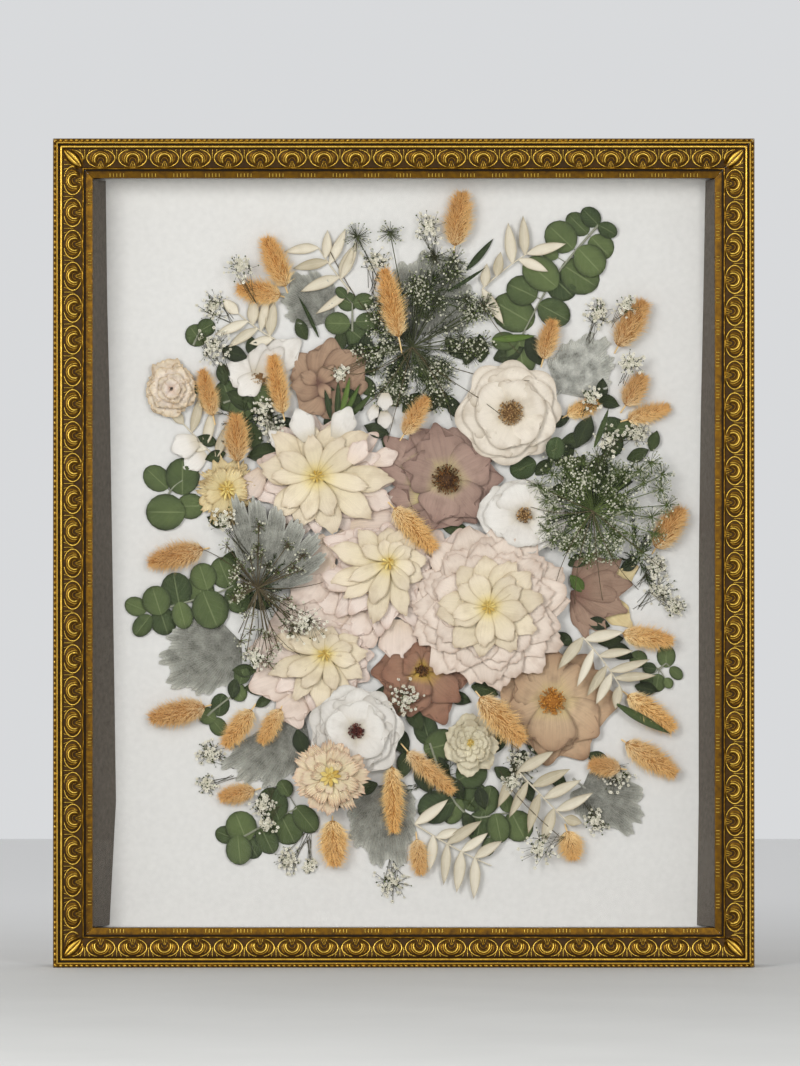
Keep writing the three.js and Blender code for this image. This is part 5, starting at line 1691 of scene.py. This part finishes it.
def add_tabs(steel):
    low, high = (np.array(corner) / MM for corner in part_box("rear_cover"))
    tabs = []
    for i in range(TABS_ACROSS):
        x = (i - (TABS_ACROSS - 1) / 2) * WIDTH / (TABS_ACROSS + 0.5)
        tabs += [(x, low[2], (0, 1)), (x, high[2], (0, -1))]
    for i in range(TABS_UP):
        z = HEIGHT / 2 + (i - (TABS_UP - 1) / 2) * HEIGHT / (TABS_UP + 0.5)
        tabs += [(low[0], z, (1, 0)), (high[0], z, (-1, 0))]
    t = np.linspace(-0.05, 1, 8)[:, None]
    s = np.linspace(-1, 1, 7)[None, :]
    inside = np.clip(t, 0, 1)
    aside = TAB["width"] / 2 * (1 - 0.35 * inside ** 3) * s
    out = TAB["length"] * t * (1 - 0.12 * s ** 2 * inside ** 2)
    w = -TAB["thickness"] - 0.35 * np.sin(inside * math.pi / 2) + 0 * s
    for i, (x, z, inward) in enumerate(tabs):
        sheaf = Sheaf()
        u = x + inward[0] * out - inward[1] * aside
        v = z + inward[1] * out + inward[0] * aside
        shell(sheaf, np.stack([u, v, w], -1), TAB["thickness"], t + 0 * s, s + 0 * t, 0.5)
        add_piece(f"cover_tab_{i + 1:02d}", sheaf, [steel], "hanger_steel",
                  to_frame=lambda p: np.column_stack([p[:, 0], high[1] - p[:, 2] - TAB["lift"], p[:, 1]]))


# Two round-headed pins hold the hanger: the radius and rise of the head's rings, then its top and foot
PIN_RINGS = ((0.7, 0.3), (1.3, 0.16), (1.5, 0.0))
PIN_TOP = 0.32
PIN_FOOT = -0.1
PIN_SIDES = 12
PIN_HEIGHT = 4.6
PIN_SPREAD = 0.44


def add_pins(steel):
    low, high = (np.array(corner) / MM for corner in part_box("sawtooth_hanger"))
    triangles = []
    for j in range(PIN_SIDES):
        k = (j + 1) % PIN_SIDES
        triangles.append([3 * PIN_SIDES, j, k])
        for row in (0, PIN_SIDES):
            a, b = row + j, row + k
            triangles += [[a, a + PIN_SIDES, b], [b, a + PIN_SIDES, b + PIN_SIDES]]
        triangles.append([3 * PIN_SIDES + 1, 2 * PIN_SIDES + k, 2 * PIN_SIDES + j])
    for side, label in ((-1, "left"), (1, "right")):
        x = (low[0] + high[0]) / 2 + side * (high[0] - low[0]) * PIN_SPREAD
        z = low[2] + PIN_HEIGHT
        turns = TURN * np.arange(PIN_SIDES) / PIN_SIDES
        rings = [spots_round((x, z), radius, turns, rise) for radius, rise in PIN_RINGS]
        sheaf = Sheaf()
        sheaf.add(np.concatenate([*rings, [[x, z, PIN_TOP], [x, z, PIN_FOOT]]]), triangles)
        add_piece("hanger_pin_" + label, sheaf, [steel], "hanger_steel",
                  to_frame=lambda p: np.column_stack([p[:, 0], high[1] - PIN_TOP + p[:, 2], p[:, 1]]))


# The stage, the lights and the camera

FLOOR_HALF = 2.5
# The room is bright behind the frame and dimmer before it, where the two soft lamps stand
ROOM_FRONT = 0.36
ROOM_BACK = 0.7
LAMP_AIM = (0, 0, 0.33)
# Each lamp's position and size in metres and its power in watts
LAMPS = {"lamp_left": ((-1.35, -2.3, 1.1), (1.0, 1.0), 32), "lamp_right": ((0.9, -2.6, 0.9), (0.5, 1.0), 21)}
CAMERA_DISTANCE = 6.0
CLIP_END = 60
SENSOR = 36.0


def add_stage():
    mesh = bpy.data.meshes.new("floor")
    corners = [(x * FLOOR_HALF, y * FLOOR_HALF, 0) for x, y in ((-1, -1), (1, -1), (1, 1), (-1, 1))]
    mesh.from_pydata(corners, [], [(0, 1, 2, 3)])
    look = Look("pale_floor", 0.7)
    near = look.ramp(look.noise(6, 3), (0.3, (206, 206, 203)), (0.7, (211, 211, 208)))
    # Towards the back the floor is painted paler, painted light that fades it into the bright room behind the
    # frame
    look.set({"Base Color": look.mix(look.step(look.forwards(), -0.4, 1.2), near, (247, 247, 246))})
    mesh.materials.append(look.material)
    floor = link("floor", mesh)


def add_light(name, position, size, power):
    light = bpy.data.lights.new(name, "AREA")
    light.shape = "RECTANGLE"
    light.size, light.size_y = size
    light.energy = power
    lamp = link(name, light)
    lamp.location = position
    lamp.rotation_euler = (Vector(LAMP_AIM) - Vector(position)).to_track_quat("-Z", "Y").to_euler()


def add_lights():
    world = bpy.data.worlds.new("studio")
    bpy.context.scene.world = world
    world.use_nodes = True
    room = Graph(world.node_tree)
    level = room.forwards("Generated") * 0.5 + 0.5
    colour = room.ramp(level, (0.1, (ROOM_FRONT, ROOM_FRONT, ROOM_FRONT * 1.02, 1)),
                       (0.75, (ROOM_BACK * 0.985, ROOM_BACK, ROOM_BACK * 1.02, 1)))
    room.feed(world.node_tree.nodes["Background"].inputs["Color"], colour)
    for name, (position, size, power) in LAMPS.items():
        add_light(name, position, size, power)


def add_camera():
    aim_x, aim_z = place(*PHOTO_MIDDLE) * MM
    camera = bpy.data.cameras.new("camera")
    camera.sensor_width = SENSOR
    camera.lens = SENSOR * CAMERA_DISTANCE / (PHOTO_HEIGHT * PX * MM)
    camera.clip_end = CLIP_END
    view = link("camera", camera)
    view.location = (aim_x, CAD_LOW.y - CAMERA_DISTANCE, aim_z)
    view.rotation_euler = (math.pi / 2, 0, 0)
    bpy.context.scene.camera = view
    bpy.context.scene.view_settings.view_transform = "Standard"


add_camera()
add_lights()
add_stage()
add_frame_pieces()
add_bouquet()
